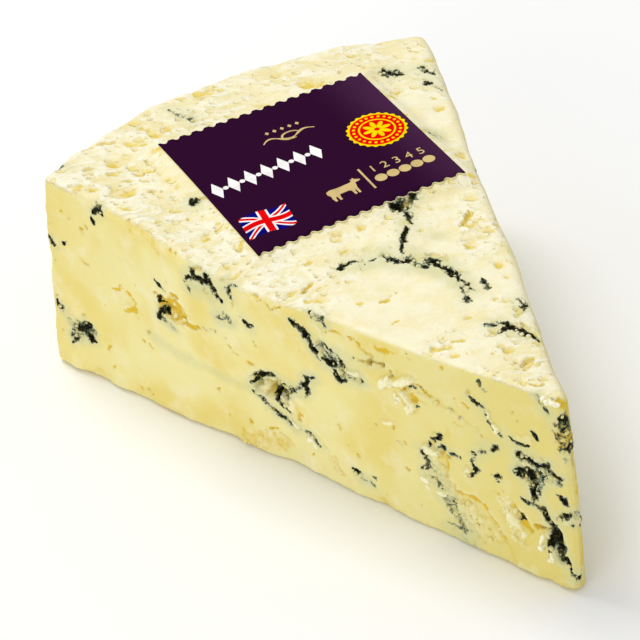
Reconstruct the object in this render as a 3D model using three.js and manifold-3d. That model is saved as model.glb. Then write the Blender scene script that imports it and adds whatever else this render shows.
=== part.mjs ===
// A wedge of blue-veined cheese with a printed card on its top face.
// Millimetres, +Z up. The wedge's point faces -Y and its rind side faces +Y.
// The origin is on the base, midway along the wedge's length and width.

import * as THREE from "three";
import { mergeVertices } from "three/addons/utils/BufferGeometryUtils.js";
import Module from "manifold-3d";

const { degToRad, lerp, smoothstep } = THREE.MathUtils;

// The wedge, cut from a round drum: two straight cut faces and a bowed rind side
const HALF_ANGLE = degToRad(19.17);
const HEIGHT = 35.3;
const POINT_Y = -57.3; // where the two cut faces would meet
const RIND_Y = 53.6;
const RIND_RADIUS = 80;
const NOSE_RADIUS = 1.55;
const CORNER_RADIUS = 1.8;
const BASE_ROUND = 1.2;
const TOP_ROUND = 1.6;
const TOP_SLOPE = 0.013; // the top face rises to the right
const RIGHT_LEAN = 1.1; // how far the right face leans in at the top
const LEAN_REACH = 10;
const FLARE = 0.018; // share by which the base spreads at the rind end
const FLARE_START_Y = 10;
const FLARE_FULL_Y = 45;
const NOSE_BULGE = 0.6; // the point bows out sideways at mid height
const NOSE_REACH = 12;

// The soft shoulder along the left top edge: it bulges outwards and sinks.
// Each row is the distance from the point, the spread along the edge and the size.
const SHOULDERS = [
  { along: 66.4, spread: 12, size: 3.6 },
  { along: 35.4, spread: 16, size: 2.5 },
];
const SHOULDER_BULGE = 0.75; // share of the size, outwards
const SHOULDER_DROP = 0.5; // share of the size, downwards
const BULGE_REACH = 8; // how far the bulge is felt inside the wedge
const DROP_REACH = 11; // how far the drop reaches into the top face
const SHOULDER_LOW = 6; // height where it starts
const SHOULDER_HIGH = 28; // height where it is full

// Uneven surface: wavelength and height of each layer
const WAVES = [
  { length: 44, size: 0.3 },
  { length: 17, size: 0.15 },
  { length: 7.5, size: 0.08 },
];
const WAVE_DIRECTIONS = 7;
const GOLDEN_ANGLE = Math.PI * (3 - Math.sqrt(5));
const TOP_CALM = 0.45; // the top face has this share of the waves

// How finely the surface is divided
const STEP_ALONG = 2.6;
const STEP_UP = 2.7;
const STEP_INWARD = 3.4;
const SHORTEST_EDGE = 0.02;
const ROUND_STEPS = 2;
const NOSE_STEPS = 5;
const CORNER_STEPS = 4;

// The printed card, which tilts a little and bends down over the shoulder
const CARD_WIDTH = 35.4;
const CARD_DEPTH = 34.6;
const CARD_THICKNESS = 0.4;
const CARD_CENTRE = new THREE.Vector3(0.1, 21.5, 36.38);
const CARD_TURN = degToRad(-2.3);
const CARD_TILT = degToRad(1.2); // its left side lies lower
const CARD_PITCH = degToRad(0.4); // its near side lies lower
const CARD_BEND = 1.5; // drop of its near left corner
const BEND_POWER = 1.5;
const PINKING_TEETH = 17;
const PINKING_DEPTH = 0.6;
const PINKING_STEPS = 5;
const CARD_STRIPS = 5;

// Crevices along mould veins: ends, sideways bow, width and depth.
// On a cut face a place is the distance from the point and the height.
const LEFT_CREVICES = [
  { from: [52.8, 32.0], to: [43.4, 25.6], bow: -0.8, width: 2.0, depth: 1.4 },
  { from: [75.2, 31.0], to: [68.0, 32.2], bow: 1.2, width: 1.5, depth: 1.1 },
  { from: [83.0, 27.8], to: [81.2, 25.8], bow: 0.3, width: 1.2, depth: 0.8 },
  { from: [86.5, 13.9], to: [58.5, 7.7], bow: 0.8, width: 1.3, depth: 0.9 },
  { from: [64.8, 14.2], to: [56.8, 17.4], bow: 3.2, width: 2.0, depth: 1.9 },
  { from: [56.6, 16.6], to: [51.0, 22.7], bow: -0.4, width: 1.4, depth: 1.0 },
  { from: [47.4, 32.3], to: [37.9, 31.3], bow: 1.2, width: 1.4, depth: 1.0 },
  { from: [33.0, 27.6], to: [18.6, 23.6], bow: 0.5, width: 1.6, depth: 1.1 },
  { from: [20.4, 29.8], to: [15.0, 25.3], bow: 0.5, width: 1.3, depth: 0.9 },
  { from: [31.0, 13.4], to: [24.2, 17.6], bow: 1.0, width: 1.9, depth: 1.3 },
  { from: [21.4, 16.6], to: [16.2, 22.4], bow: -0.7, width: 1.3, depth: 0.8 },
  { from: [12.6, 14.0], to: [7.0, 11.6], bow: 0.4, width: 1.4, depth: 1.0 },
  { from: [32.2, 11.4], to: [17.3, 5.4], bow: 0.8, width: 2.4, depth: 1.2 },
];

const RIGHT_CREVICES = [
  { from: [97.3, 24.0], to: [87.3, 20.5], bow: 1.2, width: 1.6, depth: 1.1 },
  { from: [81.3, 10.5], to: [62.3, 14.5], bow: -1.6, width: 1.5, depth: 1.0 },
  { from: [67.3, 26.5], to: [55.3, 23.0], bow: 1.4, width: 1.9, depth: 1.3 },
  { from: [49.3, 9.0], to: [39.3, 13.5], bow: 1.0, width: 1.6, depth: 1.2 },
  { from: [41.3, 25.0], to: [28.3, 21.5], bow: -1.1, width: 1.5, depth: 1.0 },
  { from: [26.3, 13.0], to: [15.3, 8.5], bow: 1.3, width: 2.0, depth: 1.3 },
];

// On the top face a place is x and y.
const TOP_CREVICES = [
  { from: [-3.9, -4.6], to: [2.8, -20.2], bow: 2.0, width: 1.8, depth: 1.3 },
  { from: [4.2, 4.5], to: [9.4, 4.4], bow: -0.7, width: 1.6, depth: 1.1 },
  { from: [6.0, 2.8], to: [-0.6, -7.1], bow: 0.8, width: 1.2, depth: 0.9 },
  { from: [0.8, -31.0], to: [5.6, -39.2], bow: 1.3, width: 1.7, depth: 1.2 },
  { from: [-11.0, 42.0], to: [-1.2, 42.2], bow: 0.5, width: 1.5, depth: 0.9 },
  { from: [23.0, 39.0], to: [25.6, 35.8], bow: 0.4, width: 1.2, depth: 0.9 },
];

// Hollows and craters: place, length, breadth, depth and turn in the face
const LEFT_HOLLOWS = [
  { at: [60.6, 14.8], length: 7.6, breadth: 5.4, depth: 2.2, turn: 10 },
  { at: [79.6, 21.6], length: 7.2, breadth: 4.8, depth: 1.3, turn: -25 },
  { at: [90.8, 19.0], length: 5.6, breadth: 4.6, depth: 0.8, turn: 15 },
  { at: [101.6, 8.3], length: 5.4, breadth: 5.4, depth: 1.5, turn: 0 },
  { at: [95.5, 33.6], length: 3.0, breadth: 3.4, depth: 1.0, turn: 0 },
  { at: [8.8, 19.2], length: 8.0, breadth: 6.6, depth: 1.7, turn: 30 },
  { at: [5.8, 7.8], length: 4.6, breadth: 8.0, depth: 1.5, turn: -20 },
  { at: [25.2, 7.6], length: 13.6, breadth: 5.6, depth: 1.0, turn: 22 },
  { at: [33.4, 25.6], length: 5.0, breadth: 3.4, depth: 1.0, turn: -15 },
];

const RIGHT_HOLLOWS = [
  { at: [93.3, 11.0], length: 6.4, breadth: 4.6, depth: 1.4, turn: 20 },
  { at: [73.3, 20.0], length: 7.0, breadth: 4.4, depth: 1.6, turn: -30 },
  { at: [46.3, 19.5], length: 5.6, breadth: 4.6, depth: 1.3, turn: 10 },
  { at: [13.3, 20.5], length: 6.4, breadth: 5.6, depth: 1.5, turn: -20 },
];

const TOP_HOLLOWS = [
  { at: [12.2, -6.2], length: 3.6, breadth: 2.6, depth: 0.7, turn: 40 },
  { at: [-22.0, 40.5], length: 4.0, breadth: 2.8, depth: 0.8, turn: 15 },
  { at: [-6.8, -30.2], length: 3.0, breadth: 2.2, depth: 0.8, turn: 60 },
  { at: [2.6, -13.8], length: 4.2, breadth: 3.0, depth: 0.9, turn: -60 },
];

// Crumbs that stand up from the left cut face
const LEFT_CRUMBS = [
  { at: [61.8, 13.0], length: 3.4, breadth: 2.2, depth: 0.9, turn: 15 },
  { at: [33.2, 28.8], length: 4.6, breadth: 1.8, depth: 0.8, turn: -12 },
  { at: [28.4, 16.2], length: 2.8, breadth: 2.2, depth: 0.9, turn: 30 },
  { at: [14.0, 9.8], length: 3.0, breadth: 2.4, depth: 0.9, turn: -40 },
  { at: [9.2, 20.6], length: 2.4, breadth: 2.0, depth: 0.9, turn: 0 },
  { at: [23.4, 9.2], length: 3.6, breadth: 1.8, depth: 0.8, turn: 20 },
];

const BLADE_SIDES = 6;
const BLADE_STEP = 2.2;
const BLADE_WAVE = 6;
const BLADE_WANDER = 0.3;
const LUMP_ROUGHNESS = 0.13;
const LUMP_WAVE = 2.4;

const sine = Math.sin(HALF_ANGLE);
const cosine = Math.cos(HALF_ANGLE);
const RIND_CENTRE_Y = RIND_Y - RIND_RADIUS;

// Joins rings of equal length into one closed surface, with a point at each end.
function closedLoft(firstPoint, rings, lastPoint) {
  const count = rings[0].length;
  const points = [firstPoint, ...rings.flat(), lastPoint];
  const last = points.length - 1;
  const index = [];
  for (let i = 0; i < count; i++) {
    const next = (i + 1) % count;
    index.push(0, 1 + next, 1 + i);
    for (let ring = 0; ring < rings.length - 1; ring++) {
      const low = 1 + ring * count;
      const high = low + count;
      index.push(low + i, low + next, high + next);
      index.push(low + i, high + next, high + i);
    }
    index.push(last - count + i, last - count + next, last);
  }
  const geometry = new THREE.BufferGeometry().setFromPoints(points);
  geometry.setIndex(index);
  return geometry;
}

// Centre of the right rind corner: CORNER_RADIUS inside both the cut face and the arc.
function cornerCentre() {
  const along = new THREE.Vector2(sine, cosine);
  const start = new THREE.Vector2(-cosine, sine).multiplyScalar(CORNER_RADIUS);
  const fromArc = start.clone().add(new THREE.Vector2(0, POINT_Y - RIND_CENTRE_Y));
  const reach = RIND_RADIUS - CORNER_RADIUS;
  const closest = fromArc.dot(along);
  const distance = -closest + Math.sqrt(closest ** 2 - fromArc.lengthSq() + reach ** 2);
  return start.addScaledVector(along, distance).add(new THREE.Vector2(0, POINT_Y));
}

// Plan outline of the wedge, anticlockwise, as points with their outward normals.
// The cut faces would meet at POINT_Y, and the three corners are rounded.
function wedgeOutline() {
  const corner = cornerCentre();
  const bearing = Math.atan2(corner.x, corner.y - RIND_CENTRE_Y);
  const noseY = POINT_Y + NOSE_RADIUS / sine;
  const quarter = Math.PI / 2;
  const path = new THREE.Path();
  path.absarc(0, noseY, NOSE_RADIUS, Math.PI + HALF_ANGLE, 2 * Math.PI - HALF_ANGLE);
  path.absarc(corner.x, corner.y, CORNER_RADIUS, -HALF_ANGLE, quarter - bearing);
  path.absarc(0, RIND_CENTRE_Y, RIND_RADIUS, quarter - bearing, quarter + bearing);
  path.absarc(-corner.x, corner.y, CORNER_RADIUS, quarter + bearing, Math.PI + HALF_ANGLE);
  path.closePath();

  const outline = [];
  for (const curve of path.curves) {
    const steps = stepsAlong(curve);
    for (let i = 0; i < steps; i++) {
      const point = curve.getPointAt(i / steps);
      const tangent = curve.getTangentAt(i / steps);
      outline.push({ point, outward: new THREE.Vector3(tangent.y, -tangent.x, 0) });
    }
  }
  return outline;
}

function stepsAlong(curve) {
  const byRadius = new Map([
    [NOSE_RADIUS, NOSE_STEPS],
    [CORNER_RADIUS, CORNER_STEPS],
  ]);
  return byRadius.get(curve.xRadius) ?? Math.round(curve.getLength() / STEP_ALONG);
}

// Heights and insets of the rings from the base up the side and over the top.
// lean is 0 where the surface faces sideways and 1 where it faces up.
function wedgeProfile(inradius) {
  const profile = [];
  for (let i = 0; i <= ROUND_STEPS; i++) {
    const angle = (i / ROUND_STEPS) * (Math.PI / 2);
    profile.push({
      z: BASE_ROUND * (1 - Math.cos(angle)),
      inset: BASE_ROUND * (1 - Math.sin(angle)),
      lean: 0,
    });
  }
  const straight = HEIGHT - BASE_ROUND - TOP_ROUND;
  const risers = Math.round(straight / STEP_UP);
  for (let i = 1; i < risers; i++) {
    profile.push({ z: BASE_ROUND + (straight * i) / risers, inset: 0, lean: 0 });
  }
  for (let i = 0; i <= ROUND_STEPS; i++) {
    const angle = (i / ROUND_STEPS) * (Math.PI / 2);
    profile.push({
      z: HEIGHT - TOP_ROUND * (1 - Math.sin(angle)),
      inset: TOP_ROUND * (1 - Math.cos(angle)),
      lean: i / ROUND_STEPS,
    });
  }
  const flat = inradius - TOP_ROUND;
  const rings = Math.round(flat / STEP_INWARD);
  for (let i = 1; i < rings; i++) {
    profile.push({ z: HEIGHT, inset: TOP_ROUND + (flat * i) / rings, lean: 1 });
  }
  return profile;
}

// A smooth field that swings both ways round zero: sine waves that run in
// directions spread evenly over a sphere, each with a phase of its own.
function ripple(place, length) {
  let sum = 0;
  for (let i = 0; i < WAVE_DIRECTIONS; i++) {
    const rise = 1 - (2 * i + 1) / WAVE_DIRECTIONS;
    const level = Math.sqrt(1 - rise ** 2);
    const bearing = i * GOLDEN_ANGLE;
    const distance =
      level * (place.x * Math.cos(bearing) + place.y * Math.sin(bearing)) + rise * place.z;
    sum += Math.sin((2 * Math.PI * distance) / length + i * i);
  }
  return sum / Math.sqrt(WAVE_DIRECTIONS);
}

// Height of the uneven surface over the plain one at a place.
function relief(place) {
  return WAVES.reduce((height, { length, size }) => height + size * ripple(place, length), 0);
}

// The wedge with its uneven faces, before crevices are cut. Rings shrink towards
// the centre of the circle that touches all three sides, which insets them evenly.
function wedgeBody() {
  const outline = wedgeOutline();
  const centre = new THREE.Vector2(0, (RIND_Y + POINT_Y * sine) / (1 + sine));
  const inradius = RIND_Y - centre.y;
  const rings = wedgeProfile(inradius).map(({ z, inset, lean }) =>
    outline.map(({ point, outward }) => {
      const plan = point.clone().lerp(centre, inset / inradius);
      const place = new THREE.Vector3(plan.x, plan.y, z);
      const facing = outward.clone().multiplyScalar(1 - lean);
      facing.z = lean;
      const calm = lerp(1, TOP_CALM, lean);
      return place.addScaledVector(facing.normalize(), calm * relief(place));
    }),
  );
  const floor = new THREE.Vector3(centre.x, centre.y, 0);
  const peak = new THREE.Vector3(centre.x, centre.y, HEIGHT);
  peak.z += TOP_CALM * relief(peak);
  return closedLoft(floor, rings, peak);
}

// A face's frame: along and across lie in the face, outward leaves it.
function faceFrame(origin, along, across, outward) {
  return { origin, along, across, outward };
}

const point = new THREE.Vector3(0, POINT_Y, 0);
const up = new THREE.Vector3(0, 0, 1);
const LEFT = faceFrame(
  point,
  new THREE.Vector3(-sine, cosine, 0),
  up,
  new THREE.Vector3(-cosine, -sine, 0),
);
const RIGHT = faceFrame(
  point,
  new THREE.Vector3(sine, cosine, 0),
  up,
  new THREE.Vector3(cosine, -sine, 0),
);
const TOP = faceFrame(
  new THREE.Vector3(0, 0, HEIGHT),
  new THREE.Vector3(1, 0, 0),
  new THREE.Vector3(0, 1, 0),
  up,
);

function placeOn(face, [first, second], height = 0) {
  return face.origin
    .clone()
    .addScaledVector(face.along, first)
    .addScaledVector(face.across, second)
    .addScaledVector(face.outward, height);
}

// A blade of lens-shaped section that runs along a face, half of it inside.
function crevice(face, { from, to, bow, width, depth }) {
  const start = placeOn(face, from);
  const end = placeOn(face, to);
  const run = end.clone().sub(start);
  const sideways = face.outward.clone().cross(run).normalize();
  const steps = Math.max(4, Math.round(run.length() / BLADE_STEP));
  const rings = [];
  for (let i = 1; i < steps; i++) {
    const share = i / steps;
    const swell = Math.sin(Math.PI * share);
    const middle = start.clone().addScaledVector(run, share);
    const wander = BLADE_WANDER * ripple(middle, BLADE_WAVE);
    middle.addScaledVector(sideways, bow * swell + wander);
    const size = Math.sqrt(swell) * (1 + wander);
    const ring = [];
    for (let side = 0; side < BLADE_SIDES; side++) {
      const angle = (2 * Math.PI * side) / BLADE_SIDES;
      ring.push(
        middle
          .clone()
          .addScaledVector(sideways, (size * Math.cos(angle) * width) / 2)
          .addScaledVector(face.outward, size * Math.sin(angle) * depth),
      );
    }
    rings.push(ring);
  }
  return closedLoft(start, rings, end);
}

// A rough rounded lump, centred on a face and half inside it.
function lump(face, { at, length, breadth, depth, turn }) {
  const ball = new THREE.IcosahedronGeometry(1, 1);
  ball.deleteAttribute("normal");
  ball.deleteAttribute("uv");
  const shape = mergeVertices(ball);
  const centre = placeOn(face, at);
  const angle = degToRad(turn);
  const long = face.along.clone().multiplyScalar(Math.cos(angle));
  long.addScaledVector(face.across, Math.sin(angle));
  const broad = face.outward.clone().cross(long);
  const place = new THREE.Vector3();
  const { position } = shape.attributes;
  for (let i = 0; i < position.count; i++) {
    place.fromBufferAttribute(position, i);
    place.multiplyScalar(1 + LUMP_ROUGHNESS * ripple(place.clone().add(centre), LUMP_WAVE));
    const moved = centre
      .clone()
      .addScaledVector(long, (place.x * length) / 2)
      .addScaledVector(broad, (place.y * breadth) / 2)
      .addScaledVector(face.outward, place.z * depth);
    position.setXYZ(i, moved.x, moved.y, moved.z);
  }
  return shape;
}

// Moves a place of the plain wedge to where the soft, settled cheese has it:
// the left top edge sinks and bulges, the right face leans in, the base flares
// at the rind end, the point bows out and the top slopes.
function settle(place) {
  const fromPoint = place.clone().sub(point);
  const along = fromPoint.dot(LEFT.along);
  const insideLeft = Math.max(0, -fromPoint.dot(LEFT.outward));
  const insideRight = Math.max(0, -fromPoint.dot(RIGHT.outward));
  const rise = place.z / HEIGHT;
  let size = 0;
  for (const shoulder of SHOULDERS) {
    size += shoulder.size * bell(along - shoulder.along, shoulder.spread * Math.SQRT2);
  }
  size *= smoothstep(place.z, SHOULDER_LOW, SHOULDER_HIGH);
  const flare = FLARE * (1 - rise) * smoothstep(place.y, FLARE_START_Y, FLARE_FULL_Y);
  const bow = NOSE_BULGE * bell(place.y - POINT_Y, NOSE_REACH) * Math.sin(Math.PI * rise);
  place.x += flare * place.x + bow;
  place.y += flare * place.y;
  place.addScaledVector(LEFT.outward, size * SHOULDER_BULGE * bell(insideLeft, BULGE_REACH));
  place.addScaledVector(RIGHT.outward, -RIGHT_LEAN * rise * bell(insideRight, LEAN_REACH));
  place.z -= size * SHOULDER_DROP * bell(insideLeft, DROP_REACH);
  place.z *= 1 + (TOP_SLOPE * place.x) / HEIGHT;
  return place;
}

// A smooth hump: 1 at no distance, falling off over the reach.
function bell(distance, reach) {
  return Math.exp(-((distance / reach) ** 2));
}

const wasm = await Module();
wasm.setup();

function toSolid(geometry) {
  return new wasm.Manifold(
    new wasm.Mesh({
      numProp: 3,
      vertProperties: new Float32Array(geometry.attributes.position.array),
      triVerts: new Uint32Array(geometry.index.array),
      tolerance: SHORTEST_EDGE,
    }),
  );
}

function toGeometry(solid) {
  const { vertProperties, triVerts } = solid.getMesh();
  const geometry = new THREE.BufferGeometry();
  geometry.setAttribute("position", new THREE.BufferAttribute(vertProperties, 3));
  geometry.setIndex(new THREE.BufferAttribute(triVerts, 1));
  return geometry;
}

// The largest of the bodies a cut leaves, so that no loose scrap stays.
function mainBody(solid) {
  return solid.decompose().reduce((most, body) => (body.volume() > most.volume() ? body : most));
}

function cheeseGeometry() {
  const cuts = [
    ...LEFT_CREVICES.map((row) => crevice(LEFT, row)),
    ...RIGHT_CREVICES.map((row) => crevice(RIGHT, row)),
    ...TOP_CREVICES.map((row) => crevice(TOP, row)),
    ...LEFT_HOLLOWS.map((row) => lump(LEFT, row)),
    ...RIGHT_HOLLOWS.map((row) => lump(RIGHT, row)),
    ...TOP_HOLLOWS.map((row) => lump(TOP, row)),
  ];
  const crumbs = LEFT_CRUMBS.map((row) => lump(LEFT, row));
  let solid = toSolid(wedgeBody());
  for (const cut of cuts) solid = solid.subtract(toSolid(cut));
  for (const crumb of crumbs) solid = solid.add(toSolid(crumb));
  const geometry = toGeometry(mainBody(solid));
  const place = new THREE.Vector3();
  const { position } = geometry.attributes;
  for (let i = 0; i < position.count; i++) {
    settle(place.fromBufferAttribute(position, i));
    position.setXYZ(i, place.x, place.y, place.z);
  }
  geometry.computeVertexNormals();
  return geometry;
}

// The card, flat and centred. Its near and far edges are pinked and its sides
// straight, and each section across it goes out along the top and back below.
function cardGeometry() {
  const steps = PINKING_TEETH * PINKING_STEPS;
  const rings = [];
  for (let i = 0; i <= steps; i++) {
    const share = i / steps;
    const wave = 0.5 - 0.5 * Math.cos(2 * Math.PI * PINKING_TEETH * share);
    const x = CARD_WIDTH * (share - 0.5);
    const half = CARD_DEPTH / 2 - PINKING_DEPTH * wave;
    const ring = [];
    for (const side of [1, -1]) {
      for (let strip = 0; strip <= CARD_STRIPS; strip++) {
        const y = side * half * (1 - (2 * strip) / CARD_STRIPS);
        ring.push(bendCard(new THREE.Vector3(x, y, (side * CARD_THICKNESS) / 2)));
      }
    }
    rings.push(ring);
  }
  const [left, right] = [-1, 1].map((side) =>
    bendCard(new THREE.Vector3((side * CARD_WIDTH) / 2, 0, 0)),
  );
  return closedLoft(left, rings, right);
}

// Lowers a place on the card towards its near left corner.
function bendCard(place) {
  const towardsLeft = 0.5 - place.x / CARD_WIDTH;
  const towardsNear = 0.5 - place.y / CARD_DEPTH;
  place.z -= CARD_BEND * (towardsLeft * towardsNear) ** BEND_POWER;
  return place;
}

function addMesh(parent, name, geometry, colour, roughness) {
  const material = new THREE.MeshStandardMaterial({ color: colour, roughness, metalness: 0 });
  const mesh = new THREE.Mesh(geometry, material);
  mesh.name = name;
  parent.add(mesh);
  return mesh;
}

const group = new THREE.Group();
addMesh(group, "cheese", cheeseGeometry(), 0xefe3a0, 0.55);
const card = addMesh(group, "label", cardGeometry(), 0x331031, 0.5);
card.position.copy(CARD_CENTRE);
card.rotation.set(CARD_PITCH, -CARD_TILT, CARD_TURN, "ZYX");

export default group;
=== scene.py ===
"""A wedge of blue-veined cheese with a printed card lying on its top face.

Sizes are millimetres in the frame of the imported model, +Z up: the wedge's point
faces -Y and its rind side +Y. Meshes are written in metres.
"""

import itertools
import logging
import math
from dataclasses import dataclass, field, replace
from enum import Enum
from typing import Callable, Iterable, Sequence

import bmesh
import bpy
import numpy as np
from mathutils import Euler, Matrix, Vector


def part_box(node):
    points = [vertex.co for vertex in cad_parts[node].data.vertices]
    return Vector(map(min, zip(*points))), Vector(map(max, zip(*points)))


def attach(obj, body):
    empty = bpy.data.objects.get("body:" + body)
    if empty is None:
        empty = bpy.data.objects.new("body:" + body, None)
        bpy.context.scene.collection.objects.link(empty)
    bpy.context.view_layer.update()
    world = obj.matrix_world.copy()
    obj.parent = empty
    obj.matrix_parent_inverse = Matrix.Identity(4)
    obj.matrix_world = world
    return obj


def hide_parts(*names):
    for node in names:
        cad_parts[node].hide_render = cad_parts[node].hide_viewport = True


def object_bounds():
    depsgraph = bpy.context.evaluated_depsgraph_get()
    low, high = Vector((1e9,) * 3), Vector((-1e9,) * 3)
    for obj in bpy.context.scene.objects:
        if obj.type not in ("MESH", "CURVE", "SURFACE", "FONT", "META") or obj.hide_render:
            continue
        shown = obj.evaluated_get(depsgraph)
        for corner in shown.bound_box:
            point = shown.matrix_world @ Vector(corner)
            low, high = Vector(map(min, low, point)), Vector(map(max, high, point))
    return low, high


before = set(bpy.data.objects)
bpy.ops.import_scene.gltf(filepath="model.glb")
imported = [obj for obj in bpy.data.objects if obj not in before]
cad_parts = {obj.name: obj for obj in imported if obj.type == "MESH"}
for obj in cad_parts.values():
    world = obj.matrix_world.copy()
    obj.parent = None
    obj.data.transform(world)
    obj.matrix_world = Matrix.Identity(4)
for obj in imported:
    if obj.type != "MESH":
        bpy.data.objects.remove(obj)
CAD_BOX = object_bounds()

MM = 0.001
TAU = 2 * math.pi
GOLDEN_ANGLE = math.pi * (3 - math.sqrt(5))
BODY = "root"

Array = np.ndarray
Spot = tuple[float, float]
Triple = tuple[float, float, float]
Colour = tuple[float, float, float, float]
Ring = tuple[float, float, float, float]
Thing = bpy.types.Object
Material = bpy.types.Material
Mesh = bpy.types.Mesh

log = logging.getLogger("cheese")


def bell(distance: Array, reach: float) -> Array:
    """A smooth hump: 1 at no distance, falling off over the reach."""
    return np.exp(-((distance / reach) ** 2))


def ease(value: Array, low: float, high: float) -> Array:
    """Rises smoothly from 0 at low to 1 at high."""
    share = np.clip((value - low) / (high - low), 0, 1)
    return share * share * (3 - 2 * share)


class Noise:
    """Seeded smooth noise in space.

    Args:
        seed: What the lattice of random directions is drawn from.
    """

    TABLE = 256

    def __init__(self, seed: int) -> None:
        """Draws the lattice's table and directions.

        Args:
            seed: What they are drawn from.
        """
        draw = np.random.default_rng(seed)
        self.table = draw.permutation(self.TABLE)
        directions = draw.normal(size=(self.TABLE, 3))
        self.directions = directions / np.linalg.norm(directions, axis=1, keepdims=True)
        self.spots = draw.uniform(0, 1, size=(self.TABLE, 3))

    def _pick(self, cell: Array) -> Array:
        """The table entry of each lattice cell.

        Args:
            cell: Rows of whole lattice places.

        Returns:
            The number of each cell's entry.
        """
        size = self.TABLE
        first = self.table[cell[:, 0] % size]
        second = self.table[(first + cell[:, 1]) % size]
        return self.table[(second + cell[:, 2]) % size]

    def at(self, places: Array, length: float) -> Array:
        """Gradient noise of one wavelength.

        Args:
            places: Rows of x, y and z in millimetres.
            length: Size of the lattice's cells in millimetres.

        Returns:
            A value for each place, about -1 to 1.
        """
        scaled = places / length
        cell = np.floor(scaled).astype(np.int64)
        local = scaled - cell
        fade = local**3 * (local * (local * 6 - 15) + 10)
        total = np.zeros(len(places))
        for corner in itertools.product((0, 1), repeat=3):
            step = np.array(corner)
            gradient = self.directions[self._pick(cell + step)]
            weight = np.prod(np.where(step, fade, 1 - fade), axis=1)
            total += weight * np.einsum("ij,ij->i", gradient, local - step)
        return 1.7 * total

    def layers(self, places: Array, length: float, count: int, gain: float = 0.5) -> Array:
        """Noise of halving wavelengths, each layer weaker by the gain.

        Args:
            places: Rows of x, y and z in millimetres.
            length: Wavelength of the first layer.
            count: How many layers.
            gain: Strength of each layer beside the one before.

        Returns:
            A value for each place, about -1 to 1.
        """
        shares = [gain**i for i in range(count)]
        total = sum(share * self.at(places + 31 * i, length / 2**i) for i, share in enumerate(shares))
        return total / sum(shares)

    def cells(self, places: Array, length: float) -> tuple[Array, Array, Array]:
        """The nearest and second nearest of scattered spots.

        Args:
            places: Rows of x, y and z in millimetres.
            length: Size of the cells that hold one spot each.

        Returns:
            Both distances, in units of the length, and the nearest spot's number.
        """
        scaled = places / length
        cell = np.floor(scaled).astype(np.int64)
        nearest = np.full(len(places), 9.0)
        second = np.full(len(places), 9.0)
        number = np.zeros(len(places), dtype=np.int64)
        for corner in itertools.product((-1, 0, 1), repeat=3):
            other = cell + np.array(corner)
            picked = self._pick(other)
            distance = np.linalg.norm(scaled - other - self.spots[picked], axis=1)
            second = np.minimum(second, np.maximum(nearest, distance))
            number = np.where(distance < nearest, picked, number)
            nearest = np.minimum(nearest, distance)
        return nearest, second, number

    def shards(self, places: Array, length: float) -> Array:
        """Random directions that stay the same over each cell of scattered spots."""
        return self.directions[self.cells(places, length)[2]]


class Face(Enum):
    """The faces of the wedge that features lie on."""

    LEFT = "left cut face: distance from the point and height"
    RIGHT = "right cut face: distance from the point and height"
    TOP = "top face: x and y"
    RIND = "rind side: distance along the arc to the right and height"
    POINT = "thin edge at the point: x and height"


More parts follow.
